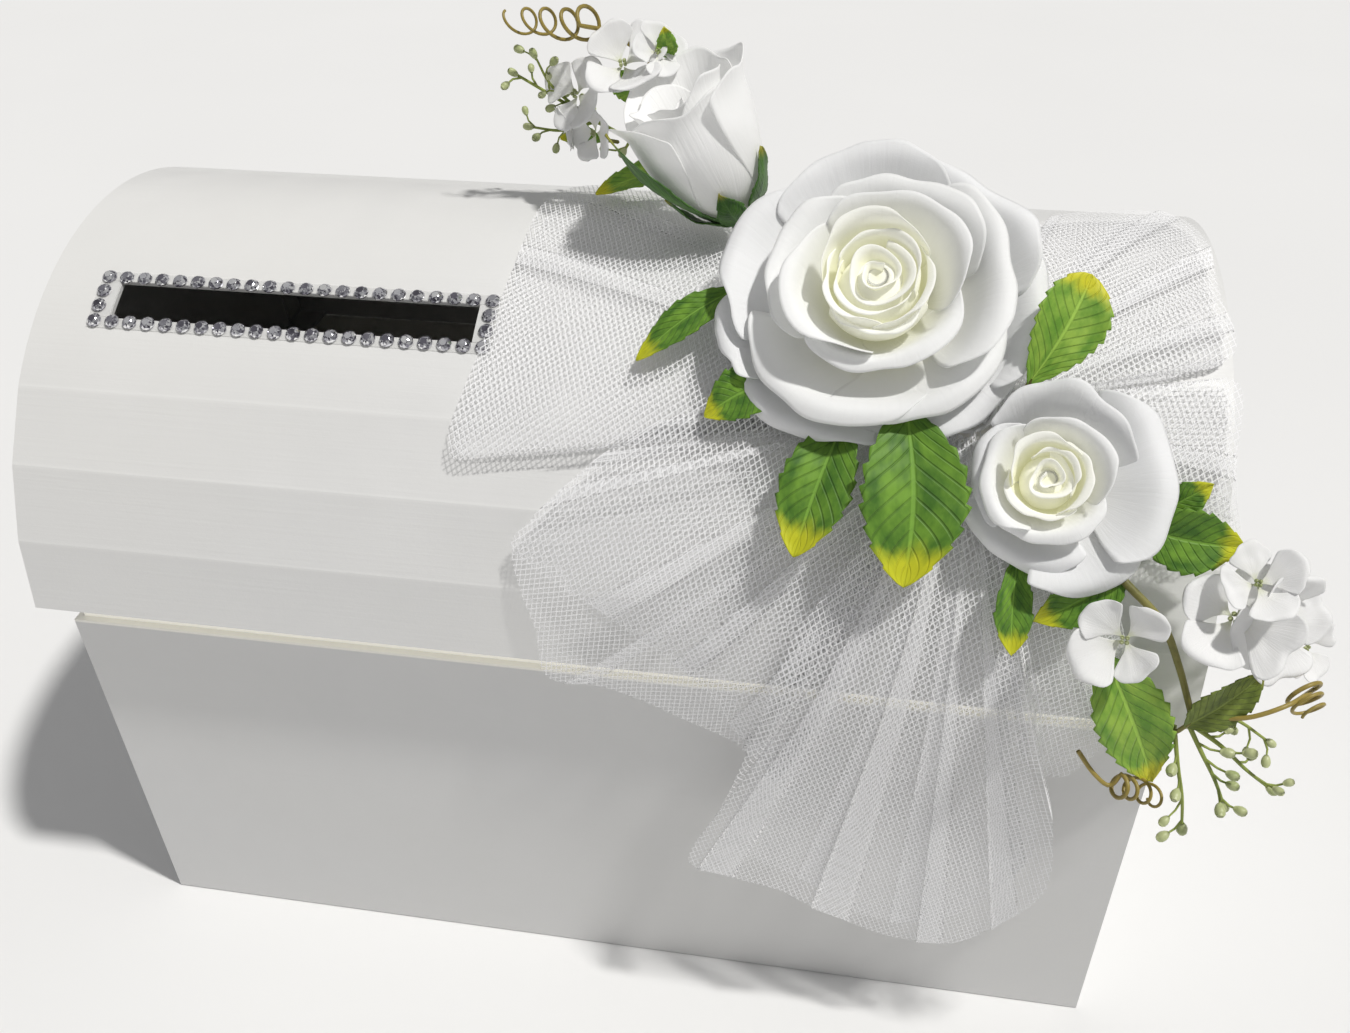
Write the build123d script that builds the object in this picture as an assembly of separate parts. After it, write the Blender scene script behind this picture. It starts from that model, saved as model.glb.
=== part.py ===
from build123d import *
import os, math

os.makedirs("parts", exist_ok=True)

# ---------------------------------------------------------------- driving sizes (mm)
LID_L = 370.0          # lid length along X
LID_R = 108.95         # outer radius of the barrel lid
ZC = 152.87            # height of the barrel's centre line
LID_T = 1.5            # lid card
EDGE_DEG = 2.84        # angle of the lid's bottom edge above the horizontal
FACET_DEG = 13.36      # angle between two score lines
N_FACETS = 3           # flat facets below the smooth crown, front and rear

BASE_W = 360.5         # base length along X
BASE_FRONT = -100.0    # outer face of the front wall
BASE_REAR = 108.8      # outer face of the rear wall, flush with the lid's rear edge
WALL_T = 2.5           # base board
WALL_H = 146.0         # front and end walls
NECK_H = 158.0         # neck liner and rear wall
NECK_T = 1.5
END_T = 2.0            # lid end boards
RIM_T = 1.5            # turned-in lid rims

SLOT_X0, SLOT_X1 = -159.0, -38.3   # card slot along X
SLOT_A0, SLOT_A1 = 56.0, 63.3      # card slot around the barrel (degrees up from the front)

GEM_D = 4.9
GEM_H = 2.0
GEM_ROW_A = (55.3, 64.0)
GEM_X0, GEM_X1, GEM_N = -163.8, -34.4, 22

HINGE_Y, HINGE_Z = 109.35, 158.15  # fold line of the hinge tape

NODES = {}


def save(name, shape):
    """Collect one physical piece (or a group of identical pieces) under its name."""
    sols = shape.solids() if not isinstance(shape, (list, tuple)) else [s for p in shape for s in p.solids()]
    obj = sols[0] if len(sols) == 1 else Compound(children=list(sols))
    NODES[name] = obj
    export_step(obj, "parts/" + name + ".step")
    print(name, len(sols), round(sum(s.volume for s in sols), 1))


def block(x0, x1, y0, y1, z0, z1):
    return Pos((x0 + x1) / 2, (y0 + y1) / 2, (z0 + z1) / 2) * Box(x1 - x0, y1 - y0, z1 - z0)


def on_barrel(x, ang, h=0.0):
    """Point on the barrel at a height h above it; ang in degrees up from the front."""
    a = math.radians(ang)
    return Vector(x, -(LID_R + h) * math.cos(a), ZC + (LID_R + h) * math.sin(a))


def barrel_plane(x, ang, h=0.0):
    """Plane tangent to the barrel, local X along the box, local Z outwards."""
    a = math.radians(ang)
    return Plane(origin=on_barrel(x, ang, h), x_dir=(1, 0, 0), z_dir=(0, -math.cos(a), math.sin(a)))


# ---------------------------------------------------------------- base: rigid box of boards
W = BASE_W / 2
save("base_front_panel", block(-W, W, BASE_FRONT, BASE_FRONT + WALL_T, 0, WALL_H))
save("base_rear_panel", block(-W, W, BASE_REAR - WALL_T, BASE_REAR, 0, NECK_H))
for side, s in (("left", -1), ("right", 1)):
    a, b = sorted((s * W, s * (W - WALL_T)))
    save("base_end_panel_" + side, block(a, b, BASE_FRONT + WALL_T, BASE_REAR - WALL_T, 0, WALL_H))
IN_X = W - WALL_T
IN_Y0, IN_Y1 = BASE_FRONT + WALL_T, BASE_REAR - WALL_T
save("base_bottom_panel", block(-IN_X, IN_X, IN_Y0, IN_Y1, 0, WALL_T))
# the neck liner stands inside the front and end walls and shows above them under the lid
save("neck_liner_front", block(-IN_X, IN_X, IN_Y0, IN_Y0 + NECK_T, WALL_T, NECK_H))
for side, s in (("left", -1), ("right", 1)):
    a, b = sorted((s * IN_X, s * (IN_X - NECK_T)))
    save("neck_liner_" + side, block(a, b, IN_Y0 + NECK_T, IN_Y1, WALL_T, NECK_H))
# paper strips folded into the two rear corners
stays = []
for s in (-1, 1):
    x = s * (IN_X - NECK_T)
    a, b = sorted((x, x - s * 0.6))
    c, d = sorted((x - s * 0.6, x - s * 16.0))
    stays.append(block(a, b, IN_Y1 - 16.0, IN_Y1, 4.0, 140.0) + block(c, d, IN_Y1 - 0.6, IN_Y1, 4.0, 140.0))
save("corner_stay_strips", stays)

# ---------------------------------------------------------------- hinge tape, split at its fold
TAPE_T = 0.4
save("hinge_tape_base_leaf", block(-W + 6, W - 6, BASE_REAR, BASE_REAR + TAPE_T, HINGE_Z - 0.15 - 22.0, NECK_H))


def sector(r0, r1, a0, a1, x0, x1):
    """Ring sector around the barrel's centre line; angles in degrees up from the front."""
    def pt(r, a):
        a = math.radians(a)
        return (-r * math.cos(a), ZC + r * math.sin(a))
    am = (a0 + a1) / 2
    o0, om, o1 = pt(r1, a0), pt(r1, am), pt(r1, a1)
    i0, im, i1 = pt(r0, a0), pt(r0, am), pt(r0, a1)
    to = lambda p: Vector(x0, p[0], p[1])
    w = Wire([Edge.make_three_point_arc(to(o0), to(om), to(o1)), Edge.make_line(to(o1), to(i1)),
              Edge.make_three_point_arc(to(i1), to(im), to(i0)), Edge.make_line(to(i0), to(o0))])
    return extrude(Face(w), amount=x1 - x0, dir=(1, 0, 0))


# ---------------------------------------------------------------- lid cover: scored card barrel
def ring_pts(r, z0, inset):
    """Corner points of the scored profile at radius r, from the front edge to the crown."""
    pts = []
    for k in range(N_FACETS + 1):
        a = math.radians(EDGE_DEG + FACET_DEG * k)
        pts.append((-r * math.cos(a), ZC + r * math.sin(a)))
    pts[0] = (-(LID_R * math.cos(math.radians(EDGE_DEG)) - inset), z0)
    return pts


LID_Z0 = ZC + LID_R * math.sin(math.radians(EDGE_DEG))      # height of the lid's bottom edge
X0 = -LID_L / 2


def profile_face(r, inset):
    f = ring_pts(r, LID_Z0, inset)
    b = [(-y, z) for (y, z) in reversed(f)]
    to = lambda p: Vector(X0, p[0], p[1])
    e = [Edge.make_line(to(f[i]), to(f[i + 1])) for i in range(len(f) - 1)]
    e.append(Edge.make_three_point_arc(to(f[-1]), Vector(X0, 0, ZC + r), to(b[0])))
    e += [Edge.make_line(to(b[i]), to(b[i + 1])) for i in range(len(b) - 1)]
    e.append(Edge.make_line(to(b[-1]), to(f[0])))
    return Face(Wire(e))


outer = extrude(profile_face(LID_R, 0.0), amount=LID_L, dir=(1, 0, 0))
inner = extrude(profile_face(LID_R - LID_T, LID_T), amount=LID_L, dir=(1, 0, 0))
cover = outer - inner
slot_cut = sector(LID_R - 8, LID_R + 8, SLOT_A0, SLOT_A1, SLOT_X0, SLOT_X1)
cover = cover - slot_cut
save("lid_cover", cover)

# end boards sit inside the barrel, flush with its ends
LIN = LID_R - LID_T
for side, s in (("left", -1), ("right", 1)):
    face = profile_face(LIN - 0.02, LID_T + 0.02)
    board = extrude(face, amount=END_T, dir=(1, 0, 0))
    board = Pos(0 if s < 0 else LID_L - END_T, 0, 0) * board
    save("lid_end_board_" + side, board)
    # glue tabs folded from the cover's edge onto the inside of the end board
    tabs = []
    angs = [9.8, 22, 34, 47, 60, 74, 90, 106, 120, 133, 146, 158, 170.2]
    for a in angs:
        pl = barrel_plane(0, a)
        t = Plane(origin=on_barrel(s * (LID_L / 2 - END_T - 0.45), a, -LID_T - 8.2), x_dir=(1, 0, 0),
                  z_dir=pl.z_dir) * Box(0.8, 15.0, 12.0)
        tabs.append(t)
    save("lid_glue_tabs_" + side, tabs)

# rims turned in at the lid's mouth; they rest on the neck liner
EI = LID_L / 2 - END_T
FR = LID_R * math.cos(math.radians(EDGE_DEG)) - LID_T
save("lid_rim_front", block(-EI + 0.1, EI - 0.1, -FR + 0.3, -FR + 17.0, LID_Z0, LID_Z0 + RIM_T))
for side, s in (("left", -1), ("right", 1)):
    a, b = sorted((s * (EI - 0.02), s * (EI - 12.0)))
    save("lid_rim_" + side, block(a, b, -FR + 17.1, FR - 0.4, LID_Z0, LID_Z0 + RIM_T))
# the lid's leaf of the hinge tape follows the first rear facet
f0 = (FR + LID_T, LID_Z0)
a1 = math.radians(EDGE_DEG + FACET_DEG)
f1 = (LID_R * math.cos(a1), ZC + LID_R * math.sin(a1))
dy, dz = f1[0] - f0[0], f1[1] - f0[1]
dl = math.hypot(dy, dz)
leaf_pl = Plane(origin=(0, f0[0], f0[1]), x_dir=(1, 0, 0), z_dir=(0, dz / dl, -dy / dl))
save("hinge_tape_lid_leaf", leaf_pl * (Pos(0, -11.2, TAPE_T / 2 + 0.02) * Box(BASE_W - 12, 21.5, TAPE_T)))

# ---------------------------------------------------------------- rhinestone frame round the slot
girdle = extrude(RegularPolygon(GEM_D / 2, 8), amount=0.7)
crown = loft([Pos(0, 0, 0.7) * RegularPolygon(GEM_D / 2, 8), Pos(0, 0, GEM_H) * RegularPolygon(GEM_D * 0.3, 8, rotation=22.5)])
gem = girdle + crown
STRIP_T = 0.3


def gem_at(x, ang):
    return barrel_plane(x, ang, STRIP_T + 0.06) * gem


xs = [GEM_X0 + (GEM_X1 - GEM_X0) * i / (GEM_N - 1) for i in range(GEM_N)]
save("gem_row_lower", [gem_at(x, GEM_ROW_A[0]) for x in xs])
save("gem_row_upper", [gem_at(x, GEM_ROW_A[1]) for x in xs])
mids = [GEM_ROW_A[0] + (GEM_ROW_A[1] - GEM_ROW_A[0]) * k / 3 for k in (1, 2)]
save("gem_column_left", [gem_at(xs[0], a) for a in mids])
save("gem_column_right", [gem_at(xs[-1], a) for a in mids])
r0, r1 = LID_R + 0.03, LID_R + STRIP_T
save("gem_backing_strips", [
    sector(r0, r1, GEM_ROW_A[0] - 1.2, SLOT_A0 - 0.02, GEM_X0 - 2.4, GEM_X1 + 2.4),
    sector(r0, r1, SLOT_A1 + 0.02, GEM_ROW_A[1] + 1.2, GEM_X0 - 2.4, GEM_X1 + 2.4),
    sector(r0, r1, SLOT_A0 + 0.1, SLOT_A1 - 0.1, GEM_X0 - 2.4, SLOT_X0 - 0.1),
    sector(r0, r1, SLOT_A0 + 0.1, SLOT_A1 - 0.1, SLOT_X1 + 0.1, GEM_X1 + 2.4)])

# ---------------------------------------------------------------- roses: nested cups on an axis
class Rose:
    def __init__(self, base, axis, depth, rad):
        self.pl = Plane(origin=base, x_dir=(1, 0, 0.05), z_dir=Vector(*axis).normalized())
        self.depth, self.rad = depth, rad

    def cup(self, r_rim, z_rim, r_foot, z_foot, t, belly=0.45):
        """Thin bowl: outer curve from the foot to the rim, inner curve t inside it."""
        rm, zm = r_foot + (r_rim - r_foot) * 0.55, z_foot + (z_rim - z_foot) * (0.55 - belly * 0.55)
        o = [(0, z_foot), (r_foot, z_foot), (rm, zm), (r_rim, z_rim)]
        i = [(r_rim - t, z_rim), (rm - t * 0.9, zm + t * 0.9), (max(r_foot - t * 0.3, 1.0), z_foot + t), (0, z_foot + t)]
        f = make_face(Plane.XZ * Polyline(*(o + i), close=True))
        return self.pl * revolve(f, Axis.Z)

    def envelope(self, grow, foot):
        d, r = self.depth, self.rad
        pts = [(0, -foot), (0.36 * r + grow, -foot), (0.36 * r + grow, 0), (r + grow, d - grow - 1), (r + grow, d + 30), (0, d + 30)]
        return self.pl * revolve(make_face(Plane.XZ * Polyline(*pts, close=True)), Axis.Z)


big = Rose((86, -53, 253), (-0.07, -0.60, 0.80), 32.0, 45.0)
small = Rose((136, -88, 224), (-0.08, -0.72, 0.69), 20.0, 25.0)

save("rose_large_outer_petals", big.cup(45.0, 32.0, 13.0, 0.4, 3.0))
save("rose_large_middle_petals", big.cup(33.0, 36.0, 9.0, 3.8, 3.0))
save("rose_large_inner_petals", big.cup(21.0, 39.0, 6.0, 7.2, 3.0))
core = make_face(Plane.XZ * Polyline((0, 10.6), (5.0, 10.6), (13.0, 28.0), (12.0, 37.0), (6.0, 41.0), (0, 41.0), close=True))
save("rose_large_core", big.pl * revolve(core, Axis.Z))
save("rose_large_calyx", big.pl * (Pos(0, 0, -0.75) * Cylinder(10.0, 1.5)))

save("rose_small_outer_petals", small.cup(25.0, 20.0, 8.0, 0.4, 2.2))
save("rose_small_inner_petals", small.cup(16.5, 23.0, 5.0, 3.0, 2.2))
core2 = make_face(Plane.XZ * Polyline((0, 5.6), (3.0, 5.6), (9.0, 16.0), (8.0, 24.0), (4.0, 26.0), (0, 26.0), close=True))
save("rose_small_core", small.pl * revolve(core2, Axis.Z))
save("rose_small_calyx", small.pl * (Pos(0, 0, -0.6) * Cylinder(6.5, 1.2)))

# rosebud lying up and to the left
bud_pl = Plane(origin=(39.5, -22, 270.5), x_dir=(0.9, 0, 0.45), z_dir=(-0.47, 0.10, 0.877))
bud = make_face(Plane.XZ * Polyline((0, 3), (6, 4.2), (12.5, 11), (18, 22), (19, 32), (16.5, 42), (10, 49), (0, 51), close=True))
save("rosebud_petals", bud_pl * revolve(bud, Axis.Z))
sep = make_face(Plane.XZ * Polyline((0, 0), (6.3, 1.5), (14.2, 10.0), (13.4, 10.8), (5.6, 3.4), (0, 2.4), close=True))
save("rosebud_sepals", bud_pl * revolve(sep, Axis.Z))

# ---------------------------------------------------------------- bow of tulle
KNOT = barrel_plane(111.0, 50.0, 0.0)
save("bow_glue_pad", KNOT * (Pos(0, 0, 1.75) * Cylinder(9.0, 2.3)))
save("bow_knot", KNOT * (Pos(0, 0, 7.2) * Cylinder(7.0, 8.2)))
save("bow_tie_wire", KNOT * (Pos(0, 0, 7.2) * Torus(7.75, 0.55)))


def filled(h):
    """Everything inside an even offset h of the barrel, carried straight down below its centre line."""
    c = Pos(0, 0, ZC) * Rot(0, 90, 0) * Cylinder(LID_R + h, 460)
    return c + block(-230, 230, -(LID_R + h), LID_R + h, 0, ZC)


def drape(h0, h1, pts, view):
    """Shell between two offsets, trimmed to an outline seen from above or from the front."""
    shell = filled(h1) - filled(h0)
    if view == "plan":
        cut = extrude(Pos(0, 0, ZC + 5) * Polygon(*pts, align=None), amount=200, dir=(0, 0, 1))
    else:
        cut = extrude(Plane.XZ * Polygon(*pts, align=None), amount=200, dir=(0, -1, 0))
    return shell & cut


def biggest(shape):
    return sorted(shape.solids(), key=lambda s: s.volume)[-1]


clear = [big.envelope(0.6, 2.0), small.envelope(1.4, 1.8), KNOT * (Pos(0, 0, 8) * Cylinder(9.4, 20))]


def trimmed(shape):
    for c in clear:
        shape = shape - c
    return biggest(shape)


SHEETS = {
    "tulle_wing_left": drape(2.9, 3.9, [(-39.6, -87.5), (-31.9, -48.6), (-28.8, -14.5), (-26.5, 10.4), (-13.9, 16.7),
                                        (21.6, 12.8), (52, -20), (104, -60), (104, -76), (60, -84), (17.6, -82), (-5.7, -86.4)], "plan"),
    "tulle_loop_left": drape(4.5, 8.0, [(104, 238), (52, 246), (20, 234), (-4, 219), (-18, 199), (-11, 170), (-6, 146), (20, 128),
                                        (66, 112), (62, 150), (58, 190), (80, 222), (104, 232)], "front"),
    "tulle_tails": drape(9.0, 12.5, [(104, 236), (70, 222), (44, 192), (54, 146), (38, 88), (49, 80), (74, 72), (101, 57), (130, 60),
                                     (146, 78), (155, 102), (143, 158), (130, 190), (116, 228)], "front"),
    "tulle_loop_right": drape(5.8, 8.6, [(112, 234), (126, 228), (160, 208), (168, 186), (160, 165), (150, 152), (136, 152), (124, 180), (110, 226)], "front"),
    "tulle_wing_right_upper": drape(2.9, 3.9, [(127, 12), (153, 20), (174, 27), (183, 2), (183.5, -32), (184, -53), (151, -62),
                                               (112, -80), (106, -62), (118, -10)], "plan"),
    "tulle_wing_right_lower": drape(4.3, 5.3, [(114, -78), (150.6, -65), (184, -66), (185, -80), (186, -86), (188.5, -93), (190, -99),
                                               (150, -103), (112, -86)], "plan"),
}
for n, s in SHEETS.items():
    save(n, trimmed(s))


# ---------------------------------------------------------------- foliage
def leaf(base, tip, width, nrm, t=0.5):
    b, e = Vector(*base), Vector(*tip)
    d = e - b
    n = Vector(*nrm)
    n = (n - d.normalized() * n.dot(d.normalized())).normalized()
    pl = Plane(origin=b, x_dir=d.normalized(), z_dir=n)
    L = d.length
    f = make_face([ThreePointArc((0, 0), (L * 0.45, width / 2), (L, 0)), ThreePointArc((L, 0), (L * 0.45, -width / 2), (0, 0))])
    return pl * extrude(f, amount=t)


N_FRONT = (-0.05, -0.8, 0.6)
save("leaves_left", [leaf((36, -60, 260.5), (15.7, -70.6, 246.1), 9, N_FRONT), leaf((58, -83.5, 249), (38.0, -84.5, 237), 12, N_FRONT)])
save("leaves_centre", [leaf((74, -102, 239), (66, -113, 210), 19, (0, -0.95, 0.3)), leaf((93, -107, 240), (98.3, -118, 207), 25, (0, -0.95, 0.3))])
save("leaf_top_right", leaf((131.5, -78, 262), (137.8, -66.3, 276), 14, (0.3, -0.8, 0.5)))
save("leaves_right", [leaf((158.0, -101, 228), (184.0, -101.5, 219), 13, (0, -0.9, 0.4)), leaf((150.0, -113.6, 204.5), (135.5, -115, 194), 9, (0, -0.95, 0.2)),
                      leaf((128.5, -116.5, 208), (127.8, -120.5, 191), 6.5, (0, -0.97, 0.2))])
save("leaf_low_right", leaf((154.2, -122, 189), (172.7, -122.9, 152.3), 19, (0, -1, 0.1)))
save("leaf_olive_right", leaf((177.5, -125, 174), (193.0, -121, 193.3), 12, (0.1, -1, 0.2)))
save("leaves_upper_left", [leaf((14, 14, 273), (-8.0, -5.7, 269.5), 8, (0, -0.5, 0.85)), leaf((2, 10, 297), (-9, 8, 304), 9, (0, -0.7, 0.7)),
                           leaf((-12, 12, 282), (-24, 9, 283), 6, (0, -0.7, 0.7))])


def rods(segs, d):
    """Straight wires between points, with round elbows."""
    out = []
    for path in segs:
        v = [Vector(*p) for p in path]
        s = None
        for a, b in zip(v[:-1], v[1:]):
            r = Plane(origin=(a + b) / 2, z_dir=(b - a).normalized()) * Cylinder(d / 2, (b - a).length)
            s = r if s is None else s + r
        for p in v[1:-1]:
            s = s + Pos(*p) * Sphere(d / 2)
        out.append(s)
    return out


save("stem_wire_right", rods([[(156.5, -113, 213), (166, -114.5, 203), (173, -117, 190), (181, -121, 172)]], 2.2))


def blossoms(centres, r, nrm):
    return [Plane(origin=c, z_dir=Vector(*nrm).normalized()) * Cone(r * 0.45, r, 3.0) for c in centres]


save("blossoms_left", blossoms([(-18, 6, 301), (-12, 2, 288), (-3, 6, 309), (9, 4, 314)], 5.6, (-0.2, -0.8, 0.6)))
save("blossoms_right", blossoms([(148, -121, 211.5), (156, -123, 200), (160, -120, 215), (180, -114, 212), (187, -113, 199), (193, -112, 212),
                                 (199, -109, 198), (211, -103, 187)], 5.8, (0.0, -0.85, 0.5)))
save("twig_buds_left", rods([[(-8, 16, 284), (-24, 12, 293), (-36, 7, 306)], [(-24, 18, 277), (-33, 15, 285), (-37, 13, 296)]], 1.6))
save("berry_sprig_right", rods([[(181, -124.5, 168), (188, -127, 160), (192, -128, 149)], [(186, -123, 171), (194, -125, 161), (203, -126, 156)],
                                [(176, -124, 166), (180, -128, 152), (182, -129, 141)]], 1.6))


def tendril(lead, c, axis, r, length):
    v = Vector(*axis).normalized()
    coil = Plane(origin=c, z_dir=v) * Cylinder(r, length)
    s = rods([lead], 1.2)[0] + coil
    return s


save("tendril_left", tendril([(10, 18, 296), (-6, 12, 318), (-20, 6, 320)], (-24, 4.5, 321), (-0.9, -0.1, 0.1), 5.0, 22.0))
save("tendril_right", tendril([(185, -126, 180), (198, -124, 184), (206, -121, 186)], (207, -120, 184), (0.4, -0.3, -0.8), 4.5, 17.0))
save("tendril_low", tendril([(151, -124, 160), (160, -126, 152), (168, -127, 150)], (168.5, -127, 150), (0.9, 0, -0.35), 4.0, 15.0))
print(len(NODES), "nodes")
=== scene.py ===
import bpy, bmesh, math, random
from mathutils import Vector, Matrix, noise


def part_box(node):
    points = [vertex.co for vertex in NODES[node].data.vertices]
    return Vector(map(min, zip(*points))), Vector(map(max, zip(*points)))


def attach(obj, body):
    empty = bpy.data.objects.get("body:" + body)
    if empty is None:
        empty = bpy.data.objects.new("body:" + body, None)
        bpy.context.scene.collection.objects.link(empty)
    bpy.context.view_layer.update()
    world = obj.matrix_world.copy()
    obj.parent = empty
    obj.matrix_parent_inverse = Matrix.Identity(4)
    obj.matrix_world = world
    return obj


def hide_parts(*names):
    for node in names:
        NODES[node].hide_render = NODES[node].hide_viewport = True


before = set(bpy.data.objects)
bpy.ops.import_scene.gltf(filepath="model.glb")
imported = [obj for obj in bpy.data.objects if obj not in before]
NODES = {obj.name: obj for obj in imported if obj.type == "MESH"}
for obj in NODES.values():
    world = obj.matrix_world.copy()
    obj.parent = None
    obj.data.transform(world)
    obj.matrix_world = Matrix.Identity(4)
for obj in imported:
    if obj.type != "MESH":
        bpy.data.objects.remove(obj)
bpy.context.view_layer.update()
MM = 0.001

# ------------------------------------------------------------------ camera, light, floor
cam_data = bpy.data.cameras.new("camera")
cam_data.sensor_width = 36.0
cam_data.sensor_fit = "HORIZONTAL"
cam_data.lens = 32.872
cam_data.clip_start = 0.01
cam = bpy.data.objects.new("camera", cam_data)
bpy.context.scene.collection.objects.link(cam)
AZ, EL, ROLL = math.radians(10.0876), math.radians(36.4652), math.radians(-1.0472)
back = Vector((math.sin(AZ) * math.cos(EL), -math.cos(AZ) * math.cos(EL), math.sin(EL)))
right = (-back).cross(Vector((0, 0, 1))).normalized()
up = right.cross(-back)
r2 = right * math.cos(ROLL) + up * math.sin(ROLL)
u2 = up * math.cos(ROLL) - right * math.sin(ROLL)
CAM = Vector((0.08132, -0.38211, 0.42459))
m = Matrix((r2, u2, back)).transposed().to_4x4()
m.translation = CAM
cam.matrix_world = m
bpy.context.scene.camera = cam
bpy.context.scene.view_settings.view_transform = "Standard"

world = bpy.data.worlds.new("studio")
bpy.context.scene.world = world
world.use_nodes = True
wn = world.node_tree
for n in list(wn.nodes):
    wn.nodes.remove(n)
w_out = wn.nodes.new("ShaderNodeOutputWorld")
w_bg = wn.nodes.new("ShaderNodeBackground")
w_tc = wn.nodes.new("ShaderNodeTexCoord")
w_sep = wn.nodes.new("ShaderNodeSeparateXYZ")
w_ramp = wn.nodes.new("ShaderNodeValToRGB")
wn.links.new(w_tc.outputs["Generated"], w_sep.inputs[0])
wn.links.new(w_sep.outputs["Z"], w_ramp.inputs[0])
e = w_ramp.color_ramp.elements
e[0].position, e[0].color = 0.0, (0.62, 0.62, 0.64, 1)
e[1].position, e[1].color = 0.85, (1.0, 1.0, 1.0, 1)
w_bg.inputs["Strength"].default_value = 0.34
wn.links.new(w_ramp.outputs[0], w_bg.inputs["Color"])
wn.links.new(w_bg.outputs[0], w_out.inputs["Surface"])

sun_data = bpy.data.lights.new("key", "SUN")
sun_data.energy = 2.65
sun_data.angle = math.radians(3.5)
sun_data.color = (1.0, 0.985, 0.955)
sun = bpy.data.objects.new("key", sun_data)
bpy.context.scene.collection.objects.link(sun)
sun.rotation_euler = Vector((0.42, -0.13, 0.90)).to_track_quat("Z", "Y").to_euler()

fm = bpy.data.meshes.new("studio_floor")
fm.from_pydata([(-4, -4, -0.0004), (4, -4, -0.0004), (4, 4, -0.0004), (-4, 4, -0.0004)], [], [(0, 1, 2, 3)])
floor = bpy.data.objects.new("studio_floor", fm)
bpy.context.scene.collection.objects.link(floor)

# ------------------------------------------------------------------ node helpers
class Mat:
    """Small helper that builds a node material."""

    def __init__(self, name, rough=0.5, sheen=0.0, spec=0.5, metallic=0.0, coat=0.0, sss=0.0):
        self.m = bpy.data.materials.new(name)
        self.m.use_nodes = True
        self.t = self.m.node_tree
        self.b = self.t.nodes["Principled BSDF"]
        self.out = self.t.nodes["Material Output"]
        self.b.inputs["Roughness"].default_value = rough
        self.b.inputs["Sheen Weight"].default_value = sheen
        self.b.inputs["Specular IOR Level"].default_value = spec
        self.b.inputs["Metallic"].default_value = metallic
        self.b.inputs["Coat Weight"].default_value = coat
        if sss:
            self.b.inputs["Subsurface Weight"].default_value = sss
            self.b.inputs["Subsurface Radius"].default_value = (0.004, 0.004, 0.0035)
            self.b.inputs["Subsurface Scale"].default_value = 1.0

    def n(self, kind, **kw):
        nd = self.t.nodes.new("ShaderNode" + kind)
        for k, v in kw.items():
            setattr(nd, k, v)
        return nd

    def link(self, a, b):
        self.t.links.new(a, b)

    def math(self, op, a, b=None, c=None):
        nd = self.n("Math", operation=op)
        for i, v in enumerate((a, b, c)):
            if v is None:
                continue
            if isinstance(v, (int, float)):
                nd.inputs[i].default_value = v
            else:
                self.link(v, nd.inputs[i])
        return nd.outputs[0]

    def coord(self, which="Object", scale=(1, 1, 1)):
        tc = self.n("TexCoord")
        mp = self.n("Mapping")
        mp.inputs["Scale"].default_value = scale
        self.link(tc.outputs[which], mp.inputs["Vector"])
        return mp.outputs[0]

    def noise(self, scale, detail=4, rough=0.5, vec=None, dist=0.0):
        nd = self.n("TexNoise")
        nd.inputs["Scale"].default_value = scale
        nd.inputs["Detail"].default_value = detail
        nd.inputs["Roughness"].default_value = rough
        nd.inputs["Distortion"].default_value = dist
        if vec is not None:
            self.link(vec, nd.inputs["Vector"])
        return nd.outputs["Fac"]

    def ramp(self, fac, stops):
        nd = self.n("ValToRGB")
        el = nd.color_ramp.elements
        while len(el) < len(stops):
            el.new(0.5)
        for x, (p, c) in zip(el, stops):
            x.position = p
            x.color = (*c, 1) if len(c) == 3 else c
        self.link(fac, nd.inputs[0])
        return nd.outputs[0]

    def range(self, v, a, b, c, d, smooth=False):
        nd = self.n("MapRange")
        if smooth:
            nd.interpolation_type = "SMOOTHSTEP"
        nd.inputs[1].default_value, nd.inputs[2].default_value = a, b
        nd.inputs[3].default_value, nd.inputs[4].default_value = c, d
        self.link(v, nd.inputs[0])
        return nd.outputs[0]

    def mix(self, fac, a, b, mode="MIX"):
        nd = self.n("Mix", data_type="RGBA", blend_type=mode)
        for sock, v in ((nd.inputs[0], fac), (nd.inputs[6], a), (nd.inputs[7], b)):
            if isinstance(v, (int, float)):
                sock.default_value = v
            elif isinstance(v, tuple):
                sock.default_value = (*v, 1) if len(v) == 3 else v
            else:
                self.link(v, sock)
        return nd.outputs[2]

    def bump(self, height, strength, dist=0.0005):
        nd = self.n("Bump")
        nd.inputs["Strength"].default_value = strength
        nd.inputs["Distance"].default_value = dist
        self.link(height, nd.inputs["Height"])
        self.link(nd.outputs[0], self.b.inputs["Normal"])
        return nd

    def color(self, c):
        if isinstance(c, tuple):
            self.b.inputs["Base Color"].default_value = (*c, 1)
        else:
            self.link(c, self.b.inputs["Base Color"])

    def translucent(self, amount, tint):
        """Lets a share of the light through to the far side."""
        tr = self.n("BsdfTranslucent")
        tr.inputs["Color"].default_value = (*tint, 1)
        mx = self.n("MixShader")
        mx.inputs[0].default_value = amount
        surf = self.out.inputs["Surface"].links[0].from_socket
        self.link(surf, mx.inputs[1])
        self.link(tr.outputs[0], mx.inputs[2])
        self.link(mx.outputs[0], self.out.inputs["Surface"])
        return tr

    def rough(self, r):
        self.link(r, self.b.inputs["Roughness"])


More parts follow.
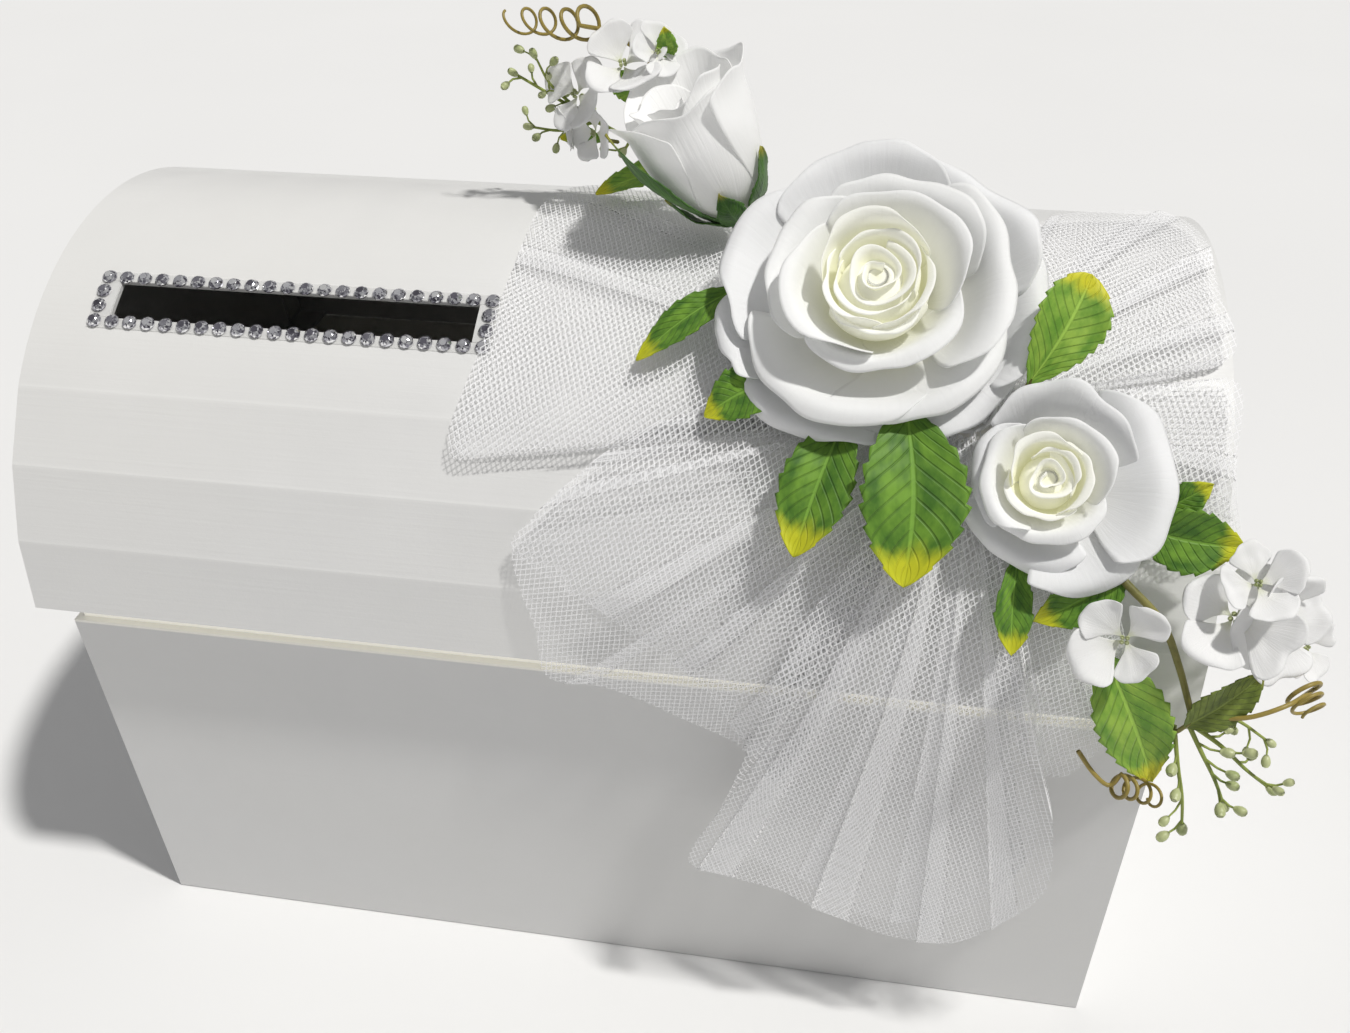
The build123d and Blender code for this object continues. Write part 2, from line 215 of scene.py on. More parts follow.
def card_material(name, tone, warm=1.0, lines=True, edge=None, crease_highlights=False, painted_glow=0.0):
    """White embossed pearl card: fine laid lines, soft mottling, faint handling marks; optional painted highlights on
    the lid creases and the top edge of the walls, and an optional painted glow.
    """
    M = Mat(name, rough=0.42, sheen=0.06, spec=0.42, coat=0.06)
    vec = M.coord("Object")
    mott = M.noise(38.0, 5, 0.55, vec)
    broad = M.noise(6.0, 3, 0.5, vec)
    c = M.ramp(mott, [(0.25, tuple(t * 0.965 for t in tone)), (0.75, tone)])
    c2 = M.mix(M.range(broad, 0.35, 0.7, 0.0, 0.55), c, (tone[0] * 0.985, tone[1] * 0.978, tone[2] * 0.955))
    # painted highlight: a cream band on the top edge of the walls above the given height
    if edge:
        sp = M.n("SeparateXYZ")
        M.link(vec, sp.inputs[0])
        c2 = M.mix(M.range(sp.outputs[2], edge - 0.0004, edge + 0.0002, 0.0, 1.0), c2, (0.97, 0.955, 0.89))
    crease_highlight_mask = None
    # painted highlights: thin lighter lines along the lid's three crease angles
    if crease_highlights:
        sq = M.n("SeparateXYZ")
        M.link(vec, sq.inputs[0])
        ang = M.math("ARCTAN2", M.math("SUBTRACT", sq.outputs[2], 0.15287), M.math("ABSOLUTE", sq.outputs[1]))
        for k in (1, 2, 3):
            a_k = math.radians(2.84 + 13.36 * k)
            one = M.range(M.math("ABSOLUTE", M.math("SUBTRACT", ang, a_k)), 0.002, 0.011, 1.0, 0.0, True)
            crease_highlight_mask = one if crease_highlight_mask is None else M.math("MAXIMUM", crease_highlight_mask, one)
        c2 = M.mix(M.math("MULTIPLY", crease_highlight_mask, 0.15), c2, (0.97, 0.97, 0.955))
    if painted_glow:
        # painted glow: emission on the outer face of the neck stands in for a highlight that the lamps do not reach
        # under the lid
        gq = M.n("SeparateXYZ")
        M.link(vec, gq.inputs[0])
        outer = M.math("MULTIPLY", M.math("LESS_THAN", gq.outputs[1], -0.09735), M.math("GREATER_THAN", gq.outputs[2], 0.1455))
        M.link(M.mix(outer, (0.0, 0.0, 0.0), (1.0, 0.97, 0.86)), M.b.inputs["Emission Color"])
        M.b.inputs["Emission Strength"].default_value = painted_glow
    M.color(c2)
    M.rough(M.range(mott, 0.2, 0.8, 0.36, 0.50))
    fine = M.noise(900.0, 3, 0.6, vec)
    long_ = M.coord("Object", (22, 900, 900))
    laid = M.noise(1.0, 2, 0.5, long_)
    h = M.math("ADD", M.math("MULTIPLY", fine, 0.35), M.math("MULTIPLY", laid, 0.65 if lines else 0.2))
    h = M.math("ADD", h, M.math("MULTIPLY", broad, 1.6))
    M.bump(h, 0.16, 0.0006)
    return M.m


lid_card = card_material("lid_card", (0.780, 0.779, 0.772), crease_highlights=True)
end_card = card_material("lid_end_card", (0.780, 0.779, 0.772))
# painted shade: the base card is a darker copy of the lid card so the walls read as shaded
base_card = card_material("base_card", (0.705, 0.705, 0.703), edge=0.1452)
# painted highlight: the neck card gets a bright cream tone and a weak painted glow so the band under the lid reads
# light
neck_card = card_material("neck_card", (0.97, 0.955, 0.89), painted_glow=0.30)


def inside_material():
    """Unlined grey-brown board inside the box."""
    M = Mat("board_inside", rough=0.85, spec=0.2)
    vec = M.coord("Object")
    fib = M.noise(260.0, 6, 0.65, vec)
    fleck = M.n("TexVoronoi")
    fleck.inputs["Scale"].default_value = 420.0
    M.link(vec, fleck.inputs["Vector"])
    c = M.ramp(fib, [(0.3, (0.60, 0.57, 0.51)), (0.7, (0.70, 0.67, 0.61))])
    c = M.mix(M.range(fleck.outputs["Distance"], 0.0, 0.10, 0.35, 0.0), c, (0.40, 0.36, 0.30))
    M.color(c)
    M.bump(fib, 0.35, 0.0004)
    return M.m


board_inside = inside_material()


def paper_tape_material():
    M = Mat("paper_tape", rough=0.7, spec=0.3)
    vec = M.coord("Object", (1, 1, 1))
    fib = M.noise(500.0, 5, 0.6, vec)
    M.color(M.ramp(fib, [(0.3, (0.80, 0.79, 0.76)), (0.7, (0.87, 0.865, 0.84))]))
    weave = M.n("TexBrick")
    weave.inputs["Scale"].default_value = 900.0
    M.link(vec, weave.inputs["Vector"])
    M.bump(M.math("ADD", fib, M.math("MULTIPLY", weave.outputs["Fac"], 0.25)), 0.4, 0.0003)
    return M.m


paper_tape = paper_tape_material()


def gem_material():
    """Foil-backed crystal: hard facets; each facet gets a random painted reflection tone, from near-black cool grey and
    violet to white.
    """
    M = Mat("rhinestone", rough=0.06, spec=0.8, metallic=0.86, coat=0.9)
    M.b.inputs["Coat Roughness"].default_value = 0.03
    at = M.n("Attribute", attribute_name="facet")
    vec = M.coord("Object")
    ns = M.noise(420.0, 2, 0.6, vec)
    f = M.math("ADD", M.math("MULTIPLY", at.outputs["Fac"], 0.8), M.math("MULTIPLY", ns, 0.3))
    M.color(M.ramp(f, [(0.12, (0.06, 0.055, 0.075)), (0.34, (0.23, 0.22, 0.27)), (0.52, (0.50, 0.50, 0.54)), (0.72, (0.80, 0.80, 0.84)), (0.9, (1.0, 1.0, 1.0))]))
    return M.m


gem_mat = gem_material()


def clear_strip_material():
    M = Mat("clear_strip", rough=0.12, spec=0.5)
    vec = M.coord("Object")
    ns = M.noise(120.0, 3, 0.5, vec)
    M.color(M.ramp(ns, [(0.3, (0.84, 0.84, 0.83)), (0.7, (0.90, 0.90, 0.89))]))
    M.bump(ns, 0.2, 0.0003)
    M.b.inputs["Alpha"].default_value = 0.4
    return M.m


clear_strip = clear_strip_material()


def tulle_material(name="tulle", pitch=0.00155, thread=0.095, haze=0.055):
    """White net: two crossing families of fine yarns, open between them."""
    M = Mat(name, rough=0.75, sheen=0.5, spec=0.25)
    M.b.inputs["Sheen Roughness"].default_value = 0.4
    uv = M.n("TexCoord")
    sep = M.n("SeparateXYZ")
    M.link(uv.outputs["UV"], sep.inputs[0])
    u, v = sep.outputs[0], sep.outputs[1]
    wob = M.noise(60.0, 2, 0.5, uv.outputs["UV"])
    ang = math.radians(36)
    k1, k2 = math.cos(ang) / pitch, math.sin(ang) / pitch
    wv = M.math("MULTIPLY", wob, 0.35)

    def line(a, b, off):
        t = M.math("ADD", M.math("ADD", M.math("MULTIPLY", u, a), M.math("MULTIPLY", v, b)), wv)
        fr = M.math("FRACT", M.math("ADD", t, off))
        d = M.math("ABSOLUTE", M.math("SUBTRACT", fr, 0.5))
        return M.range(d, thread * 0.55, thread * 1.45, 1.0, 0.0, True)

    l1 = line(k1, k2, 0.0)
    l2 = line(k1, -k2, 0.31)
    net = M.math("MAXIMUM", l1, l2)
    alpha = M.math("MAXIMUM", M.math("MULTIPLY", net, 0.80), haze)
    M.link(alpha, M.b.inputs["Alpha"])
    fib = M.noise(900.0, 2, 0.5, uv.outputs["UV"])
    M.color(M.ramp(fib, [(0.2, (0.90, 0.90, 0.92)), (0.8, (0.97, 0.97, 0.98))]))
    M.bump(net, 0.25, 0.0002)
    M.color(M.ramp(fib, [(0.2, (0.95, 0.95, 0.965)), (0.8, (0.99, 0.99, 1.0))]))
    return M.m


tulle_mat = tulle_material()
hem_mat = None


def petal_material(name, rim, mid, heart, vein=0.5, heart_end=0.45, painted_glow=0.0):
    """Soft cloth petal: cream at the foot, white at the rim, fine pressed veins."""
    M = Mat(name, rough=0.62, sheen=0.25, spec=0.22, sss=0.12)
    M.b.inputs["Sheen Roughness"].default_value = 0.5
    uv = M.n("TexCoord")
    sep = M.n("SeparateXYZ")
    M.link(uv.outputs["UV"], sep.inputs[0])
    blot = M.noise(7.0, 3, 0.5, uv.outputs["UV"])
    t = M.math("ADD", sep.outputs[1], M.math("MULTIPLY", M.math("SUBTRACT", blot, 0.5), 0.18))
    c = M.ramp(t, [(0.0, heart), (heart_end, mid), (min(heart_end + 0.35, 0.96), rim)])
    mp = M.n("Mapping")
    mp.inputs["Scale"].default_value = (46.0, 3.0, 1.0)
    M.link(uv.outputs["UV"], mp.inputs["Vector"])
    veins = M.noise(1.0, 4, 0.55, mp.outputs[0], 0.4)
    c = M.mix(M.range(veins, 0.35, 0.65, 0.0, 0.08), c, (0.86, 0.86, 0.84))
    M.color(c)
    grain = M.noise(120.0, 3, 0.6, uv.outputs["UV"])
    M.bump(M.math("ADD", M.math("MULTIPLY", veins, vein), M.math("MULTIPLY", grain, 0.18)), 0.35, 0.0007)
    if painted_glow:
        # painted glow: a weak emission in the mid colour brightens the shaded cup and heart
        M.b.inputs["Emission Color"].default_value = (mid[0], mid[1], mid[2], 1.0)
        M.b.inputs["Emission Strength"].default_value = painted_glow
    tr = M.translucent(0.14, rim)
    M.link(c, tr.inputs["Color"])
    return M.m


petal_outer = petal_material("petal_outer", (0.965, 0.970, 0.978), (0.958, 0.962, 0.960), (0.92, 0.92, 0.82), 0.5, 0.3)
petal_mid = petal_material("petal_middle", (0.962, 0.966, 0.964), (0.950, 0.953, 0.920), (0.91, 0.91, 0.70), 0.45, 0.5, 0.035)
petal_in = petal_material("petal_inner", (0.985, 0.985, 0.945), (0.965, 0.962, 0.80), (0.90, 0.90, 0.52), 0.35, 0.62, 0.10)
petal_bud = petal_material("petal_bud", (0.985, 0.985, 0.980), (0.95, 0.95, 0.93), (0.88, 0.89, 0.74), 0.9, 0.3, 0.06)


def leaf_material(name, dark, light, tip, tip_from=0.70):
    """Printed cloth leaf: dark and light green, yellow tip, pale midrib and side veins."""
    M = Mat(name, rough=0.55, sheen=0.1, spec=0.35)
    uv = M.n("TexCoord")
    sep = M.n("SeparateXYZ")
    M.link(uv.outputs["UV"], sep.inputs[0])
    u, v = sep.outputs[0], sep.outputs[1]
    blot = M.noise(3.2, 4, 0.6, uv.outputs["UV"])
    base = M.mix(M.range(blot, 0.36, 0.62, 0.0, 1.0), dark, light)
    a = M.math("ABSOLUTE", M.math("SUBTRACT", u, 0.5))
    # side veins run forward from the midrib
    s = M.math("FRACT", M.math("MULTIPLY", M.math("SUBTRACT", v, M.math("MULTIPLY", a, 0.55)), 11.0))
    d = M.math("ABSOLUTE", M.math("SUBTRACT", s, 0.5))
    vein = M.range(d, 0.03, 0.13, 1.0, 0.0, True)
    rib = M.range(a, 0.012, 0.035, 1.0, 0.0, True)
    allv = M.math("MAXIMUM", vein, rib)
    base = M.mix(M.math("MULTIPLY", vein, 0.30), base, tuple(x * 0.55 for x in dark))
    base = M.mix(M.math("MULTIPLY", rib, 0.45), base, tuple(min(1, x * 1.5 + 0.03) for x in light))
    tt = M.math("ADD", v, M.math("MULTIPLY", M.math("SUBTRACT", blot, 0.5), 0.28))
    base = M.mix(M.range(tt, tip_from, tip_from + 0.16, 0.0, 0.9, True), base, tip)
    M.color(base)
    M.rough(M.range(blot, 0.2, 0.8, 0.46, 0.64))
    M.bump(M.math("SUBTRACT", M.math("MULTIPLY", blot, 0.2), allv), 0.55, 0.0005)
    return M.m


leaf_green = leaf_material("leaf_green", (0.05, 0.145, 0.012), (0.165, 0.33, 0.03), (0.60, 0.60, 0.015), 0.74)
leaf_light = leaf_material("leaf_light", (0.12, 0.28, 0.025), (0.30, 0.48, 0.06), (0.68, 0.64, 0.02), 0.78)
leaf_dark = leaf_material("leaf_dark", (0.035, 0.105, 0.015), (0.08, 0.20, 0.03), (0.36, 0.33, 0.04), 0.84)
leaf_olive = leaf_material("leaf_olive", (0.09, 0.13, 0.015), (0.20, 0.26, 0.04), (0.40, 0.36, 0.05), 0.86)


def wire_material(name, dark, light, rough=0.5):
    """Waxed, wrapped wire: turns of tape and streaks."""
    M = Mat(name, rough=rough, spec=0.45)
    vec = M.coord("Object")
    a = M.noise(340.0, 4, 0.6, vec)
    b = M.noise(60.0, 2, 0.5, vec)
    M.color(M.mix(M.range(b, 0.35, 0.65, 0.0, 1.0), M.ramp(a, [(0.3, dark), (0.7, light)]), light))
    M.bump(a, 0.6, 0.0004)
    return M.m


tendril_mat = wire_material("tendril_olive", (0.16, 0.12, 0.02), (0.34, 0.26, 0.06), 0.42)
stem_mat = wire_material("stem_olive", (0.10, 0.10, 0.025), (0.24, 0.22, 0.06), 0.55)
sprig_mat = wire_material("sprig_green", (0.14, 0.20, 0.03), (0.30, 0.36, 0.08), 0.55)
berry_mat = wire_material("berry_green", (0.26, 0.33, 0.10), (0.52, 0.56, 0.30), 0.4)
calyx_mat = wire_material("calyx_green", (0.05, 0.12, 0.02), (0.13, 0.25, 0.05), 0.6)
silver_wire = wire_material("silver_wire", (0.60, 0.60, 0.60), (0.78, 0.78, 0.78), 0.3)
glue_mat = wire_material("glue", (0.78, 0.76, 0.68), (0.86, 0.84, 0.78), 0.25)

FM = Mat("floor_paper", rough=0.9, spec=0.2)
FM.color(FM.ramp(FM.noise(3.0, 3, 0.5, FM.coord("Object")), [(0.3, (0.79, 0.79, 0.79)), (0.7, (0.805, 0.805, 0.805))]))
floor.data.materials.append(FM.m)


def paint(nodes, mat):
    for n in nodes:
        o = NODES[n]
        if not o.material_slots:
            o.data.materials.append(mat)
        for s in o.material_slots:
            s.material = mat


paint(["lid_cover"], lid_card)
paint(["lid_end_board_left", "lid_end_board_right", "lid_rim_front", "lid_rim_left", "lid_rim_right"], end_card)
paint(["base_front_panel", "base_rear_panel", "base_end_panel_left", "base_end_panel_right", "base_bottom_panel"], base_card)
paint(["neck_liner_front", "neck_liner_left", "neck_liner_right"], neck_card)
paint(["hinge_tape_base_leaf", "hinge_tape_lid_leaf", "corner_stay_strips", "lid_glue_tabs_left", "lid_glue_tabs_right"], paper_tape)
paint(["gem_backing_strips"], clear_strip)
paint(["bow_tie_wire"], silver_wire)
paint(["bow_glue_pad"], glue_mat)

# ------------------------------------------------------------------ lid coordinates (mm)
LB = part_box("lid_cover")
R = (LB[1].y - LB[0].y) / 2 / MM / math.cos(math.radians(2.84))
ZC = LB[1].z / MM - R
X_END = LB[1].x / MM


def lidp(x, s, h):
    """Point above the unrolled lid: s runs up the barrel from its centre height, below it straight down."""
    if s >= 0:
        a = s / R
        return Vector((x, -(R + h) * math.cos(a), ZC + (R + h) * math.sin(a)))
    return Vector((x, -(R + h), ZC + s))


def mesh_obj(name, verts, faces, mats, body="lid", smooth=True, uvs=None, face_mat=None):
    me = bpy.data.meshes.new(name)
    me.from_pydata([tuple(v * MM) for v in verts], [], faces)
    me.update()
    for mt in (mats if isinstance(mats, (list, tuple)) else [mats]):
        me.materials.append(mt)
    if uvs is not None:
        layer = me.uv_layers.new(name="uv")
        for lp in me.loops:
            layer.data[lp.index].uv = uvs[lp.vertex_index]
    for i, p in enumerate(me.polygons):
        p.use_smooth = smooth
        if face_mat:
            p.material_index = face_mat[i]
    o = bpy.data.objects.new(name, me)
    bpy.context.scene.collection.objects.link(o)
    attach(o, body)
    return o


class Build:
    """Collects many patches into one mesh."""

    def __init__(self):
        self.v, self.f, self.uv, self.m = [], [], [], []

    def grid(self, P, UV, mat=0, close=False):
        nu, nv = len(P), len(P[0])
        b = len(self.v)
        for i in range(nu):
            for j in range(nv):
                self.v.append(P[i][j])
                self.uv.append(UV[i][j])
        for i in range(nu - 1):
            for j in range(nv - (0 if close else 1)):
                k = (j + 1) % nv
                self.f.append((b + i * nv + j, b + (i + 1) * nv + j, b + (i + 1) * nv + k, b + i * nv + k))
                self.m.append(mat)

    def tube(self, pts, r0, r1=None, seg=8, mat=0):
        """Round wire along points, tapering from r0 to r1, with closed ends."""
        r1 = r0 if r1 is None else r1
        n = len(pts)
        tang = [(pts[min(i + 1, n - 1)] - pts[max(i - 1, 0)]).normalized() for i in range(n)]
        ref = Vector((0.13, 0.29, 0.95)).normalized()
        a = tang[0].cross(ref).normalized()
        rows, uvs = [], []
        L = 0.0
        for i in range(n):
            a = (a - tang[i] * a.dot(tang[i])).normalized()
            b = tang[i].cross(a)
            r = r0 + (r1 - r0) * i / (n - 1)
            rows.append([pts[i] + (a * math.cos(2 * math.pi * k / seg) + b * math.sin(2 * math.pi * k / seg)) * r for k in range(seg)])
            uvs.append([(k / seg, L * 0.01) for k in range(seg)])
            if i < n - 1:
                L += (pts[i + 1] - pts[i]).length
        self.grid(rows, uvs, mat, close=True)
        base = len(self.v) - n * seg
        for ring, sign in ((0, -1), (n - 1, 1)):
            self.v.append(pts[ring] + tang[ring] * sign * (r0 if ring == 0 else r1) * 0.6)
            self.uv.append((0.5, 0.5))
            c = len(self.v) - 1
            for k in range(seg):
                q = (base + ring * seg + k, base + ring * seg + (k + 1) % seg)
                self.f.append((c, q[1], q[0]) if sign < 0 else (c, q[0], q[1]))
                self.m.append(mat)

    def ball(self, c, axis, r, stretch=1.0, mat=0, seg=10, rings=7):
        """Small seed or berry, slightly pointed at its tip."""
        z = Vector(axis).normalized()
        x = z.orthogonal().normalized()
        y = z.cross(x)
        rows, uvs = [], []
        for i in range(1, rings):
            t = math.pi * i / rings
            rr = r * math.sin(t) * (1 - 0.18 * math.cos(t))
            zz = -r * stretch * math.cos(t)
            rows.append([c + (x * math.cos(2 * math.pi * k / seg) + y * math.sin(2 * math.pi * k / seg)) * rr + z * zz for k in range(seg)])
            uvs.append([(k / seg, i / rings) for k in range(seg)])
        b0 = len(self.v)
        self.grid(rows, uvs, mat, close=True)
        nr = rings - 1
        for ring, zz in ((0, -r * stretch), (nr - 1, r * stretch)):
            self.v.append(c + z * zz)
            self.uv.append((0.5, 0.5))
            k0 = len(self.v) - 1
            for k in range(seg):
                q = (b0 + ring * seg + k, b0 + ring * seg + (k + 1) % seg)
                self.f.append((k0, q[1], q[0]) if ring == 0 else (k0, q[0], q[1]))
                self.m.append(mat)

    def make(self, name, mats, **kw):
        return mesh_obj(name, self.v, self.f, mats, uvs=self.uv, face_mat=self.m, **kw)


def thicken(o, t, sub=0, offset=0.0):
    if sub:
        s = o.modifiers.new("sub", "SUBSURF")
        s.levels = s.render_levels = sub
    if t:
        md = o.modifiers.new("thick", "SOLIDIFY")
        md.thickness = t * MM
        md.offset = offset
        md.use_rim = True
    return o


def smooth_path(pts, n):
    """Catmull-Rom through points, n samples, spaced by chord length."""
    P = [Vector(p) for p in pts]
    if len(P) == 2:
        return [P[0].lerp(P[1], i / (n - 1)) for i in range(n)]
    ext = [P[0] * 2 - P[1]] + P + [P[-1] * 2 - P[-2]]
    dense = []
    for i in range(1, len(ext) - 2):
        a, b, c, d = ext[i - 1], ext[i], ext[i + 1], ext[i + 2]
        for k in range(24):
            t = k / 24
            dense.append(0.5 * ((2 * b) + (c - a) * t + (2 * a - 5 * b + 4 * c - d) * t * t + (-a + 3 * b - 3 * c + d) * t ** 3))
    dense.append(P[-1])
    acc = [0.0]
    for a, b in zip(dense[:-1], dense[1:]):
        acc.append(acc[-1] + (b - a).length)
    out, j = [], 0
    for i in range(n):
        target = acc[-1] * i / (n - 1)
        while j < len(acc) - 2 and acc[j + 1] < target:
            j += 1
        w = (target - acc[j]) / max(acc[j + 1] - acc[j], 1e-9)
        out.append(dense[j].lerp(dense[j + 1], min(max(w, 0), 1)))
    return out


# ------------------------------------------------------------------ rhinestones
def stone(B, c, ex, ey, ez, r, seed):
    """Foil-backed stone: girdle, two rows of facets and a flat table."""
    rnd = random.Random(seed)
    n = 12
    def ring(rad, z, off):
        return [c + ex * rad * math.cos(2 * math.pi * (k + off) / n) + ey * rad * math.sin(2 * math.pi * (k + off) / n) + ez * z for k in range(n)]
    b = len(B.v)
    rings = [ring(r * 0.97, 0.0, 0), ring(r, 0.45, 0), ring(r * 0.86, 0.95, 0.5), ring(r * 0.60, 1.55, 0.0), ring(r * 0.44, 1.75, 0.5)]
    for rg in rings:
        B.v += rg
        B.uv += [(0, 0)] * n
    def face(idx):
        B.f.append(tuple(b + i for i in idx))
        B.m.append(0)
        B.facet.append(rnd.random())
    for q in range(4):
        o, p = q * n, (q + 1) * n
        for k in range(n):
            k1 = (k + 1) % n
            if q == 0:
                face((o + k, o + k1, p + k1, p + k))
            else:
                shift = 0 if q in (1, 3) else -1
                a, a1, t, t1 = o + k, o + k1, p + (k + (0 if q != 2 else 0)) % n, p + (k + 1) % n
                if q in (1, 3):
                    face((a, a1, p + k))
                    face((a1, p + k1, p + k))
                else:
                    face((a, p + k1, p + k))
                    face((a, a1, p + k1))
    face(tuple(4 * n + k for k in range(n)))
    face(tuple(n - 1 - k for k in range(n)))


def gems(name, centres):
    B = Build()
    B.facet = []
    for i, (x, ang) in enumerate(centres):
        a = math.radians(ang)
        ez = Vector((0, -math.cos(a), math.sin(a)))
        ex = Vector((1, 0, 0))
        ey = ez.cross(ex)
        tw = (hash_f(i * 7.13 + ang) - 0.5) * 1.2
        ex2 = ex * math.cos(tw) + ey * math.sin(tw)
        ey2 = ez.cross(ex2)
        c = Vector((x, -(R + 0.36) * math.cos(a), ZC + (R + 0.36) * math.sin(a)))
        stone(B, c, ex2, ey2, ez, 2.44, i * 31 + int(ang * 10))
    o = B.make(name + "_stones", gem_mat, smooth=False)
    at = o.data.attributes.new("facet", "FLOAT", "FACE")
    for i, v in enumerate(B.facet):
        at.data[i].value = v
    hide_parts(name)
    return o


def hash_f(x):
    return (math.sin(x * 12.9898) * 43758.5453) % 1.0


GX = [-163.8 + (129.4) * i / 21 for i in range(22)]
gems("gem_row_lower", [(x, 55.3) for x in GX])
gems("gem_row_upper", [(x, 64.0) for x in GX])
gems("gem_column_left", [(GX[0], 58.2), (GX[0], 61.1)])
gems("gem_column_right", [(GX[-1], 58.2), (GX[-1], 61.1)])

# ------------------------------------------------------------------ petals and roses
class Flower:
    """Local frame of a flower: Z up its axis, X towards the viewer's right."""

    def __init__(self, base, axis):
        self.o = Vector(base)
        self.z = Vector(axis).normalized()
        self.x = (Vector((0.985, 0.173, 0)) - self.z * self.z.dot(Vector((0.985, 0.173, 0)))).normalized()
        self.y = self.z.cross(self.x)

    def p(self, r, ang, z):
        return self.o + (self.x * math.cos(ang) + self.y * math.sin(ang)) * r + self.z * z


def petal(B, F, az, width, prof, wave=1.2, seed=0, tip=0.18, mat=0, nu=20, nv=21, rough=1.3, edge=0.0, peak=0.0, taper=0.42, side=0.0):
    """One petal from its foot to its rolled rim. prof: (radius, height) points up its middle; width: span in degrees.
    edge curls the side edges outwards, peak draws the middle of the rim out, side tilts the rim."""
    rnd = random.Random(seed)
    p1, p2, p3 = (rnd.random() * 6.28 for _ in range(3))
    w0 = math.radians(width)
    path = smooth_path([Vector((r, z, 0)) for r, z in prof], 60)
    P, UV = [], []
    for i in range(nu):
        t = i / (nu - 1)
        row, ur = [], []
        for j in range(nv):
            s = -1 + 2 * j / (nv - 1)
            lim = 1 - tip * abs(s) ** 2.4 + side * s + 0.03 * math.sin(5.1 * s + p1) + 0.018 * math.sin(11.3 * s + p2)
            tt = t * min(lim, 1.0)
            k = min(max(tt, 0), 1) * 59
            k0 = min(int(k), 58)
            q = path[k0].lerp(path[k0 + 1], k - k0)
            wid = taper + (1 - taper) * math.sin(min(tt / 0.72, 1.0) * math.pi / 2)
            ang = math.radians(az) + s * w0 / 2 * wid
            r, z = q.x, q.y
            f = tt ** 2
            r += edge * abs(s) ** 3 * f
            if peak:
                g = math.exp(-(s / 0.22) ** 2) * max(0, tt - 0.6) / 0.4
                z += peak * g
                r += peak * 0.5 * g
            z += wave * tt ** 3 * (0.75 * math.sin(2.7 * s + p1) + 0.45 * math.sin(6.3 * s + p2))
            r += 0.7 * wave * tt ** 2.5 * math.sin(3.9 * s + p3)
            nz = noise.noise(Vector((s * 1.1 + seed * 3.7, tt * 1.7, seed * 1.9)))
            nz2 = noise.noise(Vector((s * 3.1 + seed * 1.3, tt * 4.2, seed * 0.9)))
            r += rough * (1.3 * nz + 0.5 * nz2) * tt
            z += rough * 0.5 * nz2 * tt
            row.append(F.p(r, ang, z))
            ur.append((0.5 + 0.5 * s, tt))
        P.append(row)
        UV.append(ur)
    B.grid(P, UV, mat)


def heart(B, F, r0, r1, z0, z1, turns, mat=0, phase=0.0, seed=1, n=110, nv=12, lip=1.2, drop=0.16):
    """Rolled heart of a rose: one strip wound out from the middle, its top edge turned out."""
    P, UV = [], []
    for i in range(n):
        t = i / (n - 1)
        ang = phase + turns * 2 * math.pi * t
        r = r0 + (r1 - r0) * t ** 0.85 + 0.35 * math.sin(1.7 * ang + seed)
        row, ur = [], []
        for j in range(nv):
            v = j / (nv - 1)
            k = max(0.0, (v - 0.72) / 0.28)
            rr = r * (0.60 + 0.40 * min(v / 0.72, 1) ** 0.8) + 0.5 * math.sin(3.1 * ang + seed) * v + lip * k ** 1.6 * (0.4 + t)
            zz = z0 + (z1 - z0) * v * (1 - drop * t) + (0.6 + 1.2 * t) * v * math.sin(1.45 * ang + seed * 2) - 0.5 * lip * k * k * (0.4 + t)
            row.append(F.p(rr, ang, zz))
            ur.append((t * turns, 0.12 + 0.88 * v))
        P.append(row)
        UV.append(ur)
    B.grid(P, UV, mat)


def whorl(name, node, F, petals, mat, thick=0.25, seed0=0, sub=1, **kw):
    B = Build()
    for k, (az, w, prof, wv, opt) in enumerate(petals):
        petal(B, F, az, w, prof, wv, seed0 + k, **{**kw, **opt})
    o = B.make(name, mat)
    thicken(o, thick, sub)
    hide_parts(node)
    return o


BIG = Flower((85, -53, 253), (-0.07, -0.60, 0.80))
SMALL = Flower((133.5, -88.5, 224.5), (-0.08, -0.72, 0.69))

whorl("rose_large_petals_outer", "rose_large_outer_petals", BIG, [
    (92, 84, [(6, 1), (26, 12), (38, 22), (42.5, 25), (46.5, 25)], 1.3, dict(tip=0.20)),
    (38, 84, [(6, 1), (27, 11), (39, 19.5), (43.5, 22), (47, 20)], 1.7, dict(edge=1.5)),
    (-6, 78, [(6, 1), (28, 9), (40, 18), (44.5, 19.5), (47.5, 16.5)], 1.8, dict(edge=1.0)),
    (-46, 84, [(6, 1), (26, 8), (38, 15), (42.5, 15.5), (45, 12)], 1.6, dict(tip=0.15)),
    (-92, 92, [(6, 1), (25, 7), (36, 13), (40.5, 13.5), (43, 10)], 1.4, dict(tip=0.13)),
    (-138, 88, [(6, 1), (27, 8), (39, 14), (43, 14.5), (45.5, 11)], 1.5, dict(tip=0.16)),
    (188, 46, [(6, 1), (28, 9), (40, 17), (44.5, 19), (47, 17)], 0.8, dict(tip=0.22)),
    (148, 92, [(6, 1), (26, 11.5), (38, 20.5), (43, 23.5), (46.5, 22)], 1.5, dict(edge=1.2))], petal_outer, seed0=11)
